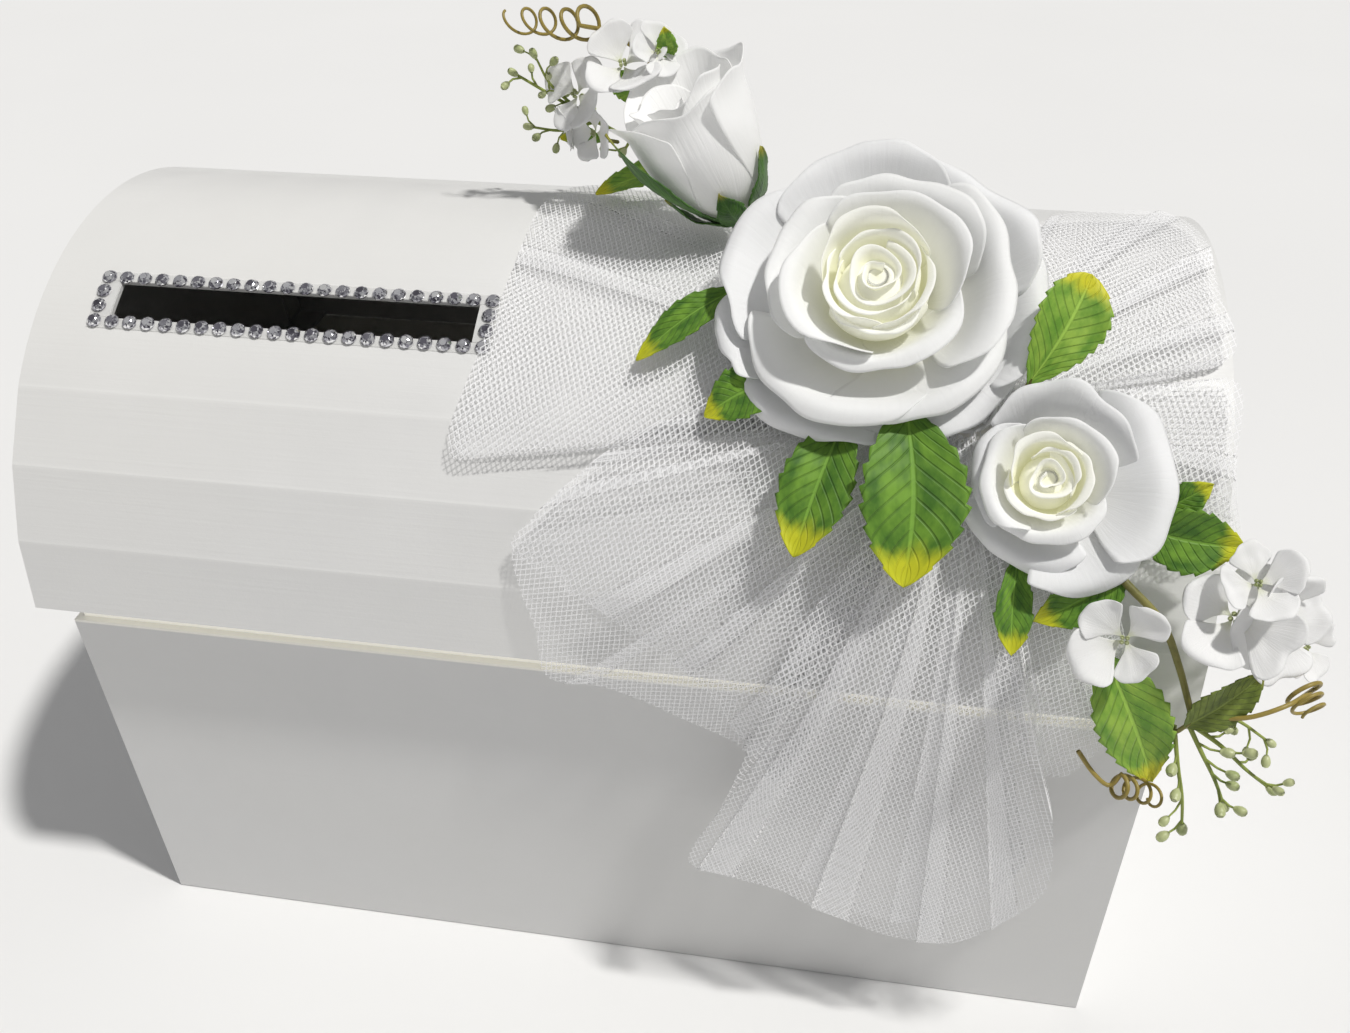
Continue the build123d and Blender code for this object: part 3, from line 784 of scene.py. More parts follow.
whorl("rose_large_petals_middle", "rose_large_middle_petals", BIG, [
    (-122, 112, [(5, 4), (22, 11), (32, 20), (36.5, 22.5), (40, 20)], 1.3, dict(edge=1.0)),
    (-62, 110, [(5, 4), (22, 12), (32, 20.5), (36, 22.5), (39, 19.5)], 1.3, dict(edge=1.2, tip=0.14)),
    (-2, 112, [(5, 4), (21, 15), (30, 27), (34.5, 30), (38, 28.5)], 1.5, dict(edge=1.5)),
    (60, 112, [(5, 4), (18, 15), (26.5, 26), (30.5, 30), (34.5, 30)], 1.2, dict(edge=1.4, tip=0.22)),
    (150, 118, [(5, 4), (17, 14.5), (25, 25), (28.5, 29), (32, 29)], 1.1, dict(edge=1.2, tip=0.24))], petal_mid, seed0=31)
whorl("rose_large_petals_inner", "rose_large_inner_petals", BIG, [
    (188, 150, [(4.5, 8), (15, 18), (20.8, 29.5), (23.2, 33.5), (26.5, 34)], 0.9, dict(edge=1.4)),
    (-78, 136, [(4.5, 8), (15, 17), (20.5, 26), (23.5, 29), (27, 27.5)], 0.8, dict(tip=0.12)),
    (48, 156, [(4.5, 8), (15, 20), (20.5, 31.5), (23.2, 35.5), (26, 36)], 0.9, dict(edge=1.0))], petal_mid, 0.25, 51, rough=0.9)
B = Build()
petal(B, BIG, 98, 162, [(3.5, 11), (11.5, 20), (14.2, 31), (14.2, 38.5), (16.2, 40.5)], 0.7, 71, tip=0.16, rough=0.6, edge=0.8)
petal(B, BIG, 205, 136, [(3.5, 11), (11.5, 18), (14.4, 27), (13.4, 33.0), (15.6, 35.2)], 0.7, 72, tip=0.15, rough=0.6, edge=1.4)
petal(B, BIG, -28, 144, [(3.5, 11), (11.5, 18), (14.4, 27), (13.4, 32.5), (15.8, 34.4)], 0.7, 73, tip=0.15, rough=0.6, edge=1.4)
petal(B, BIG, -92, 124, [(3.5, 11), (12, 17.5), (15.2, 25), (14.6, 30.0), (17.0, 31.0)], 0.7, 74, tip=0.10, rough=0.5)
petal(B, BIG, 60, 190, [(3.0, 12), (9.5, 20), (11.4, 30), (10.6, 35.0), (12.4, 36.8)], 0.6, 75, tip=0.12, rough=0.6)
petal(B, BIG, 240, 190, [(3.0, 12), (9.5, 20), (11.6, 28), (10.6, 32.5), (12.8, 34.0)], 0.6, 76, tip=0.12, rough=0.6)
heart(B, BIG, 1.6, 8.6, 27.0, 36.0, 2.1, 0, 0.6, 1, lip=1.5)
B.ball(BIG.p(0.0, 0.0, 20.5), BIG.z, 11.2, 1.05, 0, 28, 14)
o = B.make("rose_large_heart", petal_in)
thicken(o, 0.25, 1)
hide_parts("rose_large_core")

whorl("rose_small_petals_outer", "rose_small_outer_petals", SMALL, [
    (70, 124, [(4, 1), (15, 11), (20, 19.5), (23, 22.5), (25.5, 22)], 0.9, dict(peak=3.0, edge=1.0)),
    (165, 110, [(4, 1), (13, 10), (17, 17.5), (19, 19), (20.8, 17)], 0.9, dict(edge=0.8)),
    (2, 112, [(4, 1), (18, 8), (27, 13), (31, 13.5), (34.5, 11)], 1.6, dict(edge=1.5, tip=0.22)),
    (-52, 104, [(4, 1), (17, 6), (25, 10), (29, 10), (31.5, 6.5)], 1.8, dict(edge=1.0)),
    (-120, 110, [(4, 1), (14, 6.5), (19, 11), (22, 11.5), (24.5, 8.5)], 1.1, dict(tip=0.16))], petal_outer, 0.25, 91, rough=1.0)
whorl("rose_small_petals_inner", "rose_small_inner_petals", SMALL, [
    (178, 140, [(3.4, 3.4), (10.5, 12), (14, 19.5), (15.8, 21.5), (18, 20.5)], 0.6, dict(edge=1.0)),
    (40, 150, [(3.4, 3.4), (10.5, 13), (14, 21.5), (15.6, 23.8), (17.5, 23.6)], 0.6, {}),
    (-85, 130, [(3.4, 3.4), (10, 11), (13.5, 16.5), (15.6, 18), (18, 16.5)], 0.6, dict(tip=0.12))], petal_mid, 0.25, 111, rough=0.6)
B = Build()
petal(B, SMALL, 110, 156, [(2.6, 6), (7.6, 12), (9.4, 19), (9.6, 24), (11.6, 25)], 0.5, 131, tip=0.16, rough=0.4, edge=0.8)
petal(B, SMALL, -10, 146, [(2.6, 6), (7.6, 12), (9.6, 18), (9.2, 21.5), (11.6, 22.4)], 0.5, 132, tip=0.15, rough=0.4, edge=1.0)
petal(B, SMALL, 235, 146, [(2.6, 6), (7.6, 11), (9.8, 16.5), (9.6, 20), (12.0, 20.6)], 0.5, 133, tip=0.15, rough=0.4, edge=1.0)
petal(B, SMALL, 40, 170, [(2.4, 7), (5.8, 12), (7.2, 18), (6.6, 22), (8.2, 23)], 0.4, 134, tip=0.14, rough=0.4)
heart(B, SMALL, 0.9, 5.4, 15.0, 22.4, 1.9, 0, 2.1, 2, lip=1.3)
B.ball(SMALL.p(0.0, 0.0, 11.5), SMALL.z, 7.2, 1.05, 0, 24, 12)
o = B.make("rose_small_heart", petal_in)
thicken(o, 0.25, 1)
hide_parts("rose_small_core")


def calyx(name, node, F, r, z0, n, drop):
    B = Build()
    for k in range(n):
        petal(B, F, 360 / n * k + 20, 44, [(1.2, z0), (r * 0.5, z0 + drop * 0.4), (r, z0 + drop)], 0.3, 200 + k, tip=0.85, nu=10, nv=9, rough=0.1)
    o = B.make(name, calyx_mat)
    thicken(o, 0.4, 1)
    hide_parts(node)


calyx("rose_large_calyx_leaves", "rose_large_calyx", BIG, 15.0, 0.0, 5, 0.8)
calyx("rose_small_calyx_leaves", "rose_small_calyx", SMALL, 9.5, 0.0, 5, 0.5)

# rosebud, half open towards its upper left
BUD = Flower((39.5, -22, 270.5), (-0.47, 0.10, 0.877))
B = Build()
for k, (az, w, prof, wv, opt) in enumerate([
        (-88, 190, [(3, 2), (13, 11), (17.5, 25), (17.8, 36), (19.5, 41.5)], 1.6, dict(edge=1.0)),
        (12, 160, [(3, 2), (13, 11), (18, 26), (19.5, 39), (23, 46)], 1.6, dict(edge=1.6)),
        (172, 150, [(3, 2), (13, 11), (17.5, 25), (19, 36), (22.5, 42)], 1.7, dict(edge=1.5)),
        (92, 170, [(3, 2), (12.5, 11), (17, 27), (18.5, 42), (22, 51)], 1.8, dict(tip=0.2)),
        (140, 150, [(2.6, 4), (9, 14), (13, 28), (13.5, 40), (15.5, 45.5)], 1.0, {}),
        (-20, 160, [(2.6, 4), (9, 14), (12.5, 28), (12.5, 40), (14.5, 44.5)], 1.0, {}),
        (-120, 150, [(2.4, 5), (7, 14), (9.5, 28), (9.5, 38), (11.5, 42)], 0.8, {})]):
    petal(B, BUD, az, w, prof, wv, 151 + k, nu=26, rough=1.3 if k < 4 else 0.8, **opt)
heart(B, BUD, 0.8, 5.5, 24.0, 40.5, 1.6, 0, 0.3, 3, lip=1.2)
B.ball(BUD.p(0.0, 0.0, 20), BUD.z, 8.4, 1.5, 0, 20, 12)
o = B.make("rosebud_petals_wrapped", petal_bud)
thicken(o, 0.25, 1)
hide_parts("rosebud_petals")


def leaf(B, base, tip, width, nrm, bend=2.0, fold=0.22, mat=0, teeth=9, twist=0.0, seed=0, nu=60, nv=15, droop=0.0, wide=0.45, blunt=0.8):
    """Serrated leaf from base to tip, folded along its midrib, quilted between its side veins and arched along its length."""
    b, t = Vector(base), Vector(tip)
    d = t - b
    L = d.length
    d.normalize()
    n = Vector(nrm)
    n = (n - d * n.dot(d)).normalized()
    c = d.cross(n)
    rnd = random.Random(seed)
    ph = rnd.random() * 6.28
    sway = rnd.uniform(-0.05, 0.05) * L
    P, UV = [], []
    ex = math.log(0.5) / math.log(wide)
    for i in range(nu):
        v = i / (nu - 1)
        prof = (math.sin(math.pi * v ** ex) ** blunt) if 0 < v < 1 else 0.0
        saw = 1 - 0.13 * ((v * teeth) % 1.0)
        w = width / 2 * prof
        arch = bend * math.sin(math.pi * v) + droop * v * v
        tw = twist * v
        row, ur = [], []
        for j in range(nv):
            s = -1 + 2 * j / (nv - 1)
            ws = w * s * (saw if abs(s) > 0.99 else 1.0)
            up_ = arch + fold * abs(ws) + 0.55 * math.sin(3.4 * v * math.pi + ph + 2.2 * s) * abs(s)
            q = (v - abs(s) * prof * 0.10 * width / max(L, 1) * 2) * 11
            up_ += 0.24 * abs(math.sin(q * math.pi)) * min(1, abs(s) * 3) * (1 - 0.6 * v)
            cc = c * math.cos(tw) + n * math.sin(tw)
            nn = n * math.cos(tw) - c * math.sin(tw)
            row.append(b + d * (L * v) + c * (sway * math.sin(math.pi * v)) + cc * ws + nn * up_)
            ur.append((0.5 + 0.5 * s, v))
        P.append(row)
        UV.append(ur)
    B.grid(P, UV, mat)


def leaf_piece(name, node, leaves, mats, petiole=True):
    B = Build()
    for lf in leaves:
        lf = dict(lf)
        if petiole and not lf.pop("bare", False):
            b, t = Vector(lf["base"]), Vector(lf["tip"])
            q = (t - b).normalized()
            B.tube([b - q * 5 + Vector((0, 1.5, -1.0)), b - q * 2, b + q * 2], 0.55, 0.5, 7, 1)
        lf.pop("bare", None)
        leaf(B, **lf)
    o = B.make(name, list(mats) + [stem_mat] if len(mats) == 1 else list(mats))
    thicken(o, 0.3, 0)
    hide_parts(node)
    return o


NF = (-0.05, -0.8, 0.6)
leaf_piece("rose_leaves_left", "leaves_left", [
    dict(base=(43, -57, 265), tip=(15.2, -70.8, 246.6), width=11, nrm=NF, bend=2.0, seed=1, teeth=7),
    dict(base=(58, -78, 248), tip=(37.5, -85.0, 238), width=16, bare=True, nrm=NF, bend=2.0, seed=2, teeth=6)], [leaf_green])
leaf_piece("rose_leaves_centre", "leaves_centre", [
    dict(base=(78.5, -82.5, 243.5), tip=(66.5, -114, 213), width=22, bare=True, nrm=(-0.25, -0.93, 0.3), bend=2.4, seed=3, wide=0.56, blunt=0.75),
    dict(base=(93.5, -87.5, 248), tip=(97.0, -118.5, 209.5), width=31, bare=True, nrm=(0.12, -0.95, 0.3), bend=2.8, seed=4, wide=0.50, blunt=0.72)], [leaf_green])
leaf_piece("rose_leaf_top_right", "leaf_top_right", [
    dict(base=(125.0, -84, 255), tip=(139.0, -67, 280), width=21, nrm=(0.2, -0.8, 0.55), bend=1.5, seed=5, wide=0.62, blunt=0.55)], [leaf_light])
leaf_piece("rose_leaves_right", "leaves_right", [
    dict(base=(156.0, -99, 223), tip=(185.5, -102.0, 220.5), width=19, bare=True, nrm=(0.1, -0.9, 0.4), bend=1.8, seed=6, teeth=8, wide=0.5),
    dict(base=(160.0, -96, 222), tip=(176, -93, 234), width=12, nrm=(0.1, -0.9, 0.4), bend=1.2, seed=26, teeth=6, bare=True),
    dict(base=(156.0, -107, 214), tip=(133.0, -115.0, 199), width=16, bare=True, nrm=(0, -0.95, 0.3), bend=1.2, seed=7, teeth=7),
    dict(base=(127.5, -104, 216), tip=(128.0, -121, 191.0), width=12, bare=True, nrm=(0.3, -0.97, 0.2), bend=1.5, seed=8, teeth=5, wide=0.58)], [leaf_green])
leaf_piece("rose_leaf_low_right", "leaf_low_right", [
    dict(base=(152.5, -120, 194.0), tip=(173.4, -123.5, 150.5), width=22, nrm=(0.15, -1, 0.1), bend=2.0, seed=9, teeth=10)], [leaf_light])
leaf_piece("rose_leaf_olive", "leaf_olive_right", [
    dict(base=(177.0, -124, 174), tip=(193.5, -121, 193.5), width=14, nrm=(0.1, -1, 0.2), bend=1.5, seed=10, teeth=8)], [leaf_olive])
leaf_piece("rose_leaves_upper_left", "leaves_upper_left", [
    dict(base=(18, 13.5, 274.5), tip=(-10, -5.7, 270.5), width=12, nrm=(0, -0.5, 0.85), bend=1.2, seed=11, teeth=7),
    dict(base=(3, 10, 297), tip=(-9.5, 8, 304.5), width=10, nrm=(0, -0.7, 0.7), bend=1.0, seed=12, teeth=7),
    dict(base=(13, 6, 311), tip=(12, 4, 321), width=7, nrm=(0, -0.8, 0.5), bend=0.6, seed=14, teeth=5, bare=True),
    dict(base=(-11, 12, 282), tip=(-24.5, 9, 283), width=7.5, nrm=(0, -0.7, 0.7), bend=1.0, seed=13, teeth=6)], [leaf_light])

# sepals of the bud
B = Build()
for k, (az, L, w, r_, bd) in enumerate([(-158, 43, 13, 25.5, 5.0), (-32, 19, 12, 18.5, 3.0), (100, 22, 10, 18.5, 3.0), (185, 17, 9, 17.5, 2.5), (-95, 13, 10, 15.2, 2.0)]):
    a = math.radians(az)
    n = (BUD.x * math.cos(a) + BUD.y * math.sin(a))
    leaf(B, BUD.p(3.6, a, 0.5), BUD.p(r_, a, L), w, n - BUD.z * 0.4, bend=bd, fold=-0.16, seed=40 + k, teeth=4, nu=34, nv=9, wide=0.40)
B.tube([BUD.p(0, 0, -9), BUD.p(0, 0, -4), BUD.p(0, 0, 1)], 1.6, 3.2, 10, 0)
o = B.make("rosebud_sepal_leaves", leaf_dark)
thicken(o, 0.35, 0)
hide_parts("rosebud_sepals")


# ------------------------------------------------------------------ blossoms
def floret(B, c, axis, r, n=4, seed=0, mat=0, stamen=1):
    F = Flower(c, axis)
    rnd = random.Random(seed)
    a0 = rnd.random() * 90
    for k in range(n):
        rr = r * rnd.uniform(0.85, 1.1)
        e_ = rnd.uniform(0.15, 0.65)
        petal(B, F, a0 + 360 / n * k + rnd.uniform(-12, 12), 360 / n * rnd.uniform(0.9, 1.12),
              [(0.6, 0.2), (0.40 * rr, 0.10 * rr), (0.75 * rr, e_ * rr * 0.55), (0.95 * rr, e_ * rr * 0.8), (1.04 * rr, e_ * rr * 0.7)],
              r * 0.075, seed * 10 + k, tip=0.24, nu=13, nv=13, mat=mat, rough=r * 0.10, peak=r * 0.07 * rnd.random(), edge=r * 0.05, taper=0.22)
    if stamen:
        for k in range(4):
            t = F.p(r * 0.07, k * 1.57 + seed, r * 0.13)
            B.ball(t, F.z, r * 0.05, 1.2, 1, 6, 5)


blossom_mat = petal_material("blossom_white", (0.965, 0.965, 0.965), (0.95, 0.95, 0.92), (0.80, 0.83, 0.58), 0.6, 0.25)
B = Build()
for k, (c, ax, r) in enumerate([((-16.5, 5, 299), (-0.5, -0.75, 0.45), 13.0), ((-1, 3, 309), (0.05, -0.6, 0.8), 13.5), ((-10.5, 2, 288), (-0.6, -0.75, 0.1), 10.0),
                                ((9.5, 4, 313), (0.5, -0.55, 0.7), 9.5), ((-20, 8, 288), (-0.8, -0.4, -0.2), 8.0)]):
    floret(B, c, ax, r, 4, 300 + k)
o = B.make("blossom_cluster_left", [blossom_mat, berry_mat])
thicken(o, 0.2, 1)
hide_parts("blossoms_left")

B = Build()
for k, (c, ax, r) in enumerate([((156, -121.5, 201.5), (-0.2, -0.9, 0.45), 13.0), ((184, -114, 206), (-0.15, -0.8, 0.6), 16.0),
                                ((196, -111, 203), (0.45, -0.8, 0.4), 15.0), ((187, -113, 217), (0.1, -0.6, 0.8), 11.0), ((208, -104, 190), (0.6, -0.7, 0.3), 9.5)]):
    floret(B, c, ax, r, 4, 340 + k)
o = B.make("blossom_cluster_right", [blossom_mat, berry_mat])
thicken(o, 0.2, 1)
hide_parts("blossoms_right")


# ------------------------------------------------------------------ sprigs, stems, tendrils
def V(*p):
    return Vector(p)


def sprig(B, path, r, buds, seed, bud_r=1.3, side=6.0):
    rnd = random.Random(seed)
    pts = smooth_path(path, 22)
    B.tube(pts, r, r * 0.6, 7, 0)
    for k in range(buds):
        i = int(5 + (len(pts) - 6) * k / max(buds - 1, 1))
        i = min(i, len(pts) - 2)
        t = (pts[i + 1] - pts[i]).normalized()
        sd = Vector((rnd.uniform(-1, 1), rnd.uniform(-0.6, 0.3), rnd.uniform(-1, 1)))
        sd = (sd - t * sd.dot(t)).normalized()
        q = pts[i] + (sd * 0.8 + t * 0.7) * side * rnd.uniform(0.6, 1.1)
        mid = pts[i].lerp(q, 0.5) + t * 0.8
        B.tube([pts[i], mid, q], r * 0.55, r * 0.4, 6, 0)
        B.ball(q + (q - mid).normalized() * bud_r, (q - mid), bud_r * rnd.uniform(0.8, 1.15), 1.45, 1, 8, 6)
    B.ball(pts[-1] + (pts[-1] - pts[-2]).normalized() * bud_r, pts[-1] - pts[-2], bud_r, 1.5, 1, 8, 6)


B = Build()
sprig(B, [V(-4, 16, 282), V(-16, 14, 289), V(-26, 11, 296), V(-37, 7, 304)], 0.75, 6, 1)
sprig(B, [V(-14, 15, 287), V(-25, 14, 284), V(-35, 13, 285)], 0.65, 4, 2)
sprig(B, [V(-16, 12, 290), V(-26, 9, 300), V(-30, 6, 310)], 0.6, 4, 3)
sprig(B, [V(6, 14, 292), V(1, 12, 286), V(-3, 10, 280)], 0.8, 2, 4)
o = B.make("twig_sprays_left", [sprig_mat, berry_mat])
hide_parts("twig_buds_left")

B = Build()
sprig(B, [V(178, -122, 174), V(183, -125, 166), V(188, -127, 158), V(192, -128, 150)], 0.75, 5, 5, 1.4)
sprig(B, [V(178, -122, 174), V(188, -124, 168), V(196, -125, 161), V(203, -126, 156)], 0.75, 5, 6, 1.4)
sprig(B, [V(175, -122, 172), V(178, -126, 160), V(181, -128, 150), V(183, -129, 140)], 0.7, 4, 7, 1.6)
sprig(B, [V(178, -120, 178), V(190, -121, 176), V(200, -122, 170)], 0.65, 4, 8, 1.2)
o = B.make("berry_sprays_right", [sprig_mat, berry_mat])
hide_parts("berry_sprig_right")

B = Build()
B.tube(smooth_path([V(150, -103, 214), V(156, -110, 211), V(166, -115, 203), V(173, -117.5, 190), V(180, -121, 173)], 30), 1.25, 0.9, 9, 0)
o = B.make("stem_right", [stem_mat])
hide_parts("stem_wire_right")


def helix(c, axis, r, length, turns, n, r_end=None, start=0.0, flat=None):
    z = Vector(axis).normalized()
    x = z.orthogonal().normalized()
    y = z.cross(x)
    out = []
    for i in range(n):
        t = i / (n - 1)
        a = start + turns * 2 * math.pi * t
        rr = r + ((r_end if r_end is not None else r) - r) * t
        rr *= 1 + 0.10 * math.sin(3.7 * t * turns + start)
        out.append(c + z * length * (t - 0.5) + (x * math.cos(a) + y * math.sin(a)) * rr)
    return out


def tendril(name, node, lead, c, axis, r, length, turns, r_end, start=0.0, wire=0.62, lean=0.0):
    B = Build()
    hx = helix(Vector(c), axis, r, length, turns, int(26 * turns), r_end, start)
    ax = Vector(axis).normalized()
    hx = [q + ax * (lean * (q - Vector(c)).dot(Vector((0, -0.8, 0.6)))) for q in hx]   # the turns lean over and overlap
    pts = smooth_path([Vector(p) for p in lead] + [hx[0]], 18)[:-1] + hx
    B.tube(pts, wire * 1.15, wire * 0.7, 8, 0)
    o = B.make(name, [tendril_mat])
    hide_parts(node)


tendril("tendril_coil_left", "tendril_left", [(10, 18, 296), (4, 15, 308), (-6, 10, 317)], (-23, 4.5, 321), (-0.98, -0.1, 0.05), 5.0, 24.0, 4.2, 3.2, 1.0, lean=0.85)
tendril("tendril_coil_right", "tendril_right", [(184, -124, 178), (192, -126, 182), (201, -124, 186)], (207, -120, 184), (0.35, -0.75, -0.3), 5.2, 7.0, 2.6, 3.4, 2.0)
tendril("tendril_coil_low", "tendril_low", [(151, -124, 160), (156, -126, 154), (161, -127, 150.5)], (168.5, -127, 150), (0.95, 0, -0.25), 3.4, 14.0, 3.6, 3.0, 0.5, lean=0.5)

# ------------------------------------------------------------------ tulle
def fan_sheet(name, node, knot, layers, u0=0.05, nu=40, body_h=0.7):
    """Gathered net fanning from the knot. Each layer: dict(edge=[(x, s)...], h=(at knot, at edge), pleats=[(place along the edge, depth mm)...], amp, seed).
    A pleat lays the net back over itself and forward again, in a wedge that narrows to the knot."""
    B = Build()
    for L in layers:
        path = smooth_path([Vector((p[0], p[1], 0)) for p in L["edge"]], 500)
        wid = sum((q - p).length for p, q in zip(path[:-1], path[1:]))
        rnd = random.Random(L["seed"])
        ph = [rnd.random() * 6.28 for _ in range(8)]
        amp = L.get("amp", 1.0)
        h0, h1 = L["h"]
        knt = Vector((*L.get("knot", knot), 0))

        def at(c):
            k = min(max(c / wid, 0.0), 1.0) * 499
            k0 = min(int(k), 498)
            return path[k0].lerp(path[k0 + 1], k - k0)

        cols, c, D = [], 0.0, Vector((0, 0, 0))
        tail, tail_h = 1e9, 0.0

        def put(c, D, h):
            cols.append((at(c), D.copy(), h, c / wid))

        for place, depth in sorted(L["pleats"]) + [(1.0, 0.0)]:
            end = place * wid + depth / 2
            end = min(end, wid)
            n = max(3, int((end - c) / 2.2))
            start = c
            for i in range(n + (1 if depth == 0 else 0)):
                cc = start + (end - start) * i / n
                put(cc, D, tail_h * math.exp(-(cc - start) / 9.0) if tail < 1e8 else 0.0)
            if depth == 0:
                break
            d_ = (at(end) - at(end - depth))
            m = 6
            for i in range(m + 1):
                f = i / m
                put(end - depth * f, D + d_ * (2 * f), 0.15 + 1.15 * f)
            D = D + d_ * 2
            c, tail, tail_h = end - depth + 0.4, 0.0, 1.3
        rows, uvs = [], []
        for i in range(nu):
            t = i / (nu - 1)
            uu = u0 + (1 - u0) * t
            row, ur = [], []
            for e_, Dk, hp, v in cols:
                bow = L.get("bow", 0.0) * math.sin(math.pi * uu) * math.sin(math.pi * v)
                x = knt.x + (e_.x - knt.x) * uu
                sc = knt.y + (e_.y - knt.y) * uu + bow
                env = uu ** 0.5 * (1.0 - 0.30 * uu)
                h = h0 + (h1 - h0) * uu + hp * L.get("stack", 0.8) * (0.4 + 0.6 * env)
                h += amp * env * (0.9 * math.sin(2 * math.pi * L.get("folds", 5) * v + ph[0] + 1.4 * math.sin(7 * v + ph[1]) + 0.8 * uu) + 0.16 * math.sin(2 * math.pi * 2.3 * L.get("folds", 5) * v + ph[2]))
                h += 1.6 * env * noise.noise(Vector((x * 0.03 + L["seed"], sc * 0.03, 0.3)))
                if L.get("edge_drop"):
                    w = max(0.0, (uu - 0.86) / 0.14)
                    h -= L["edge_drop"] * w * w
                row.append(lidp(x, sc, max(h, body_h)))
                g = (Vector((e_.x, e_.y, 0)) - knt) * uu + Dk
                ang = L.get("turn", 0.3)
                gx, gy = g.x * math.cos(ang) - g.y * math.sin(ang), g.x * math.sin(ang) + g.y * math.cos(ang)
                ur.append((gx * MM + L["seed"] * 0.0037, gy * MM + L["seed"] * 0.0021))
            rows.append(row)
            uvs.append(ur)
        B.grid(rows, uvs, 0)
    o = B.make(name, [tulle_mat])
    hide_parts(node)
    return o


K = (111.0, 95.1)
WL = [(44.7, 172), (33, 176), (21.7, 183.3), (7, 188), (-8, 188), (-20, 182.5), (-27, 171), (-29.6, 158), (-30.3, 130.2), (-34.2, 102.9), (-39.5, 71.6), (-23.6, 71.8), (-0.9, 74.4), (17.9, 82.2), (44.7, 93.6)]
WL2 = [(46, 168), (24, 179), (7, 183), (-10, 180), (-22, 170), (-27.5, 155), (-28.6, 130), (-32.5, 103), (-38.4, 73), (-20, 74), (0, 77), (20, 84), (45, 95)]
fan_sheet("tulle_wing_left_net", "tulle_wing_left", K, [
    dict(edge=WL, h=(7.0, 3.6), folds=3.1, amp=1.0, seed=1, pleats=[(0.10, 7), (0.42, 9), (0.80, 8), (0.93, 6)]),
    dict(edge=WL2, h=(5.6, 2.0), folds=4, amp=0.5, seed=2, turn=-0.25, pleats=[(0.25, 8), (0.86, 6)])])
LA = [(44.9, 94), (32.3, 88.7), (18.3, 81.3), (7.1, 74), (-4, 63.2), (-12.5, 54), (-17.7, 45.4), (-2.5, 34.5), (9.8, 29.6), (25.1, 18.2), (40.5, 5.8), (53.1, -13.6), (69.8, -38.7)]
LB_ = [(44.9, 93.4), (32.3, 88.0), (18.3, 80.7), (7.1, 73.4), (-4, 62.6), (-12.5, 53.4), (-17.7, 45.0), (-15.1, 32.9), (-10.7, 20.4), (-7.6, 3), (9, 1), (30, -6), (52, -17), (69.8, -38)]
fan_sheet("tulle_loop_left_net", "tulle_loop_left", K, [
    dict(edge=LA, h=(8.5, 7.4), folds=3.0, amp=1.6, seed=3, edge_drop=2.0, pleats=[(0.12, 7), (0.30, 9), (0.55, 10), (0.70, 8), (0.84, 10), (0.94, 7)]),
    dict(edge=LB_, h=(6.5, 4.6), folds=2.3, amp=0.9, seed=4, turn=0.75, pleats=[(0.2, 6), (0.62, 9), (0.9, 8)])])
TA = [(73, 38), (66.9, 27.1), (56.4, -9.6), (47.3, -40.4), (37.4, -66.0), (49.1, -70.7), (68.2, -74.8), (78, -81), (100.9, -93.8), (116.8, -94.3), (129.9, -91.4), (141.3, -78.4), (152.5, -57.7), (150, -29), (143.8, -3.3), (139, 17.6)]
TB = [(75, 36), (69, 24), (61, -8), (54, -40), (47, -60), (60, -66), (78, -73), (96, -86), (114, -87), (128, -80), (138, -66), (147, -46), (143, -20), (138, 0), (134, 20)]
fan_sheet("tulle_tails_net", "tulle_tails", K, [
    dict(edge=TA, h=(10.5, 13.2), folds=3.2, amp=1.9, seed=5, pleats=[(0.26, 7), (0.37, 13), (0.50, 16), (0.61, 9), (0.70, 13), (0.88, 8)]),
    dict(edge=TB, h=(8.8, 9.8), folds=2.4, amp=1.3, seed=6, turn=-0.4, pleats=[(0.30, 10), (0.45, 9), (0.58, 12), (0.74, 8)])])
RA = [(126.4, 60), (140, 58), (151.4, 50), (159.6, 37.3), (161.8, 18.4), (157.8, 0), (150, -12.6), (138, -6), (130, 8), (126.8, 26.9)]
fan_sheet("tulle_loop_right_net", "tulle_loop_right", (114, 90), [
    dict(edge=RA, h=(6.8, 7.6), folds=4, amp=1.1, seed=7, pleats=[(0.2, 5), (0.5, 7), (0.75, 5)]),
    dict(edge=[(p[0] - 1.2, p[1] + 1.5) for p in RA], h=(5.6, 4.4), folds=3, amp=0.7, seed=8, turn=0.8, pleats=[(0.4, 5)])])
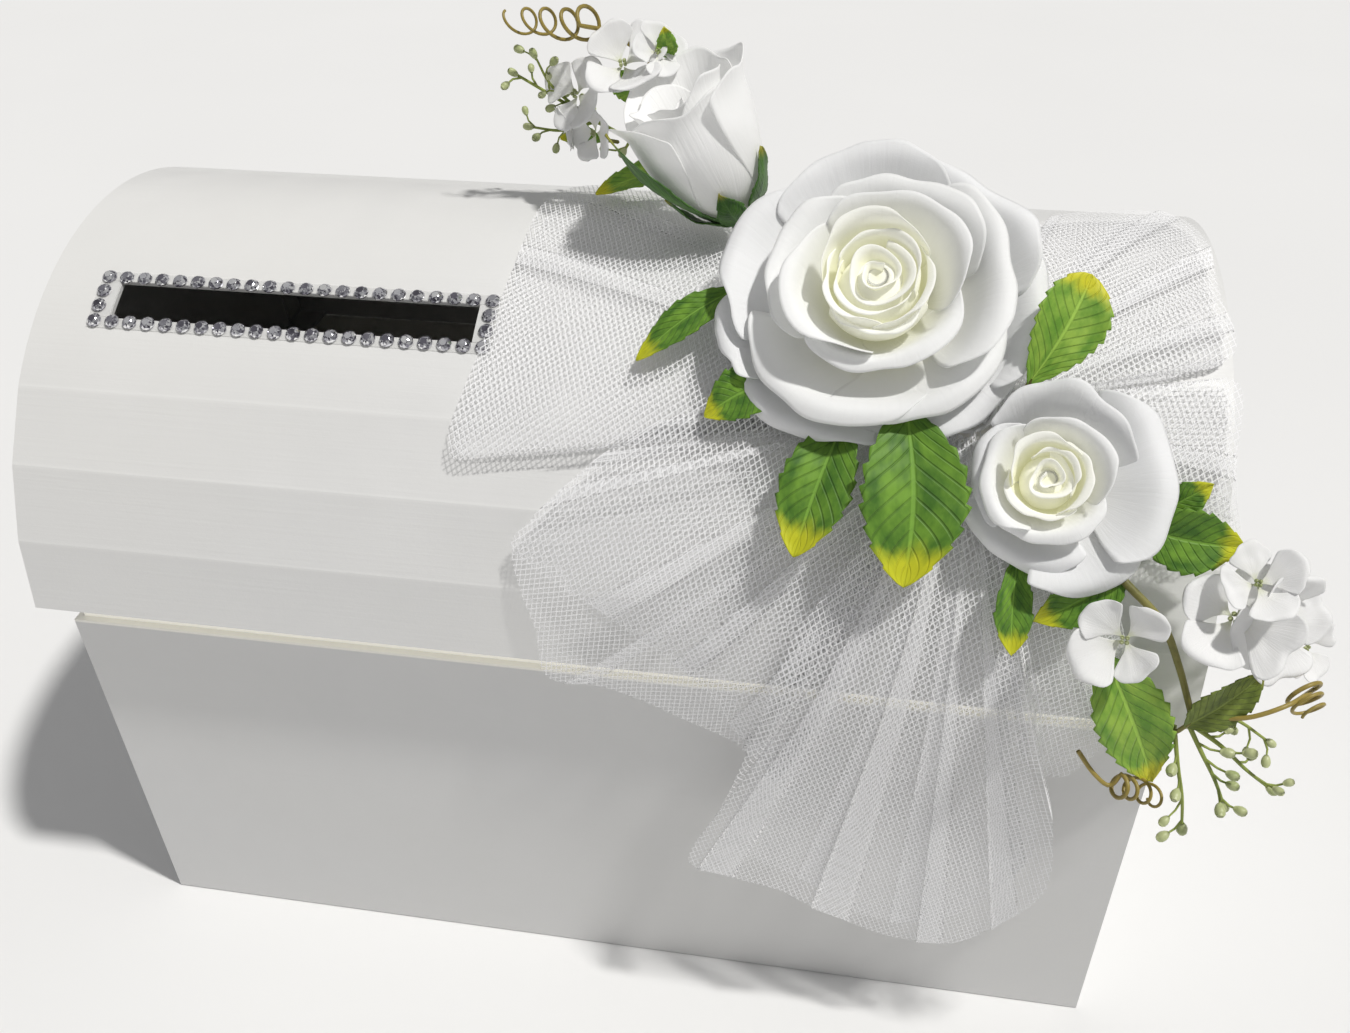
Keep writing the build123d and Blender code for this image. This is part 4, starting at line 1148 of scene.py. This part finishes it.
UA = [(123, 167.2), (139.5, 181.2), (155.9, 187.6), (171.9, 189.6), (179.7, 181.7), (181.7, 167.3), (182.5, 137.2), (184.3, 118), (172.2, 111.3), (161.4, 106.9), (150.5, 104.7)]
fan_sheet("tulle_wing_right_upper_net", "tulle_wing_right_upper", K, [
    dict(edge=UA, h=(6.6, 3.4), folds=3.4, amp=1.1, seed=9, pleats=[(0.12, 6), (0.35, 8), (0.55, 9), (0.72, 7), (0.9, 7)]),
    dict(edge=[(p[0] - 1.5, p[1] - 1.0) for p in UA], h=(5.2, 1.9), folds=4, amp=0.5, seed=10, turn=-0.5, pleats=[(0.3, 6), (0.8, 6)])])
UB = [(150.2, 101.8), (161, 102.7), (183.9, 108.3), (184.3, 83.6), (184.8, 75.7), (186.4, 64.7), (176.9, 59.1), (163.9, 58), (150.4, 66)]
fan_sheet("tulle_wing_right_lower_net", "tulle_wing_right_lower", K, [
    dict(edge=UB, h=(6.2, 4.8), folds=2.6, amp=1.0, seed=11, pleats=[(0.25, 6), (0.5, 7), (0.78, 6)]),
    dict(edge=[(p[0] - 1.5, p[1] + 0.8) for p in UB], h=(5.0, 2.6), folds=3, amp=0.5, seed=12, turn=0.9, pleats=[(0.6, 6)])])

# knot: a wound band of net over bunched folds
B = Build()
kp = lidp(111, 95.1, 7.2)
kn = (lidp(111, 95.1, 20) - lidp(111, 95.1, 0)).normalized()
kx = Vector((1, 0, 0))
ky = kn.cross(kx)
rows, uvs = [], []
for i in range(70):
    a = 2 * math.pi * i / 69 * 2.0
    row, ur = [], []
    for j in range(17):
        v = -1 + 2 * j / 16
        r = 7.0 - 2.6 * v * v + 0.5 * math.sin(5 * v + 2 * a) + 0.18 * a / 6.28
        sway = 0.8 * math.sin(a + 1.0)
        q = kp + ky * (v * 6.2 + sway) + kx * (r * math.cos(a)) + kn * (min(r, 4.4) * math.sin(a) * 0.9)
        row.append(q)
        ur.append((a * 0.007, v * 0.012))
    rows.append(row)
    uvs.append(ur)
B.grid(rows, uvs, 0)
o = B.make("tulle_knot_wrap", [tulle_mat])
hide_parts("bow_knot")
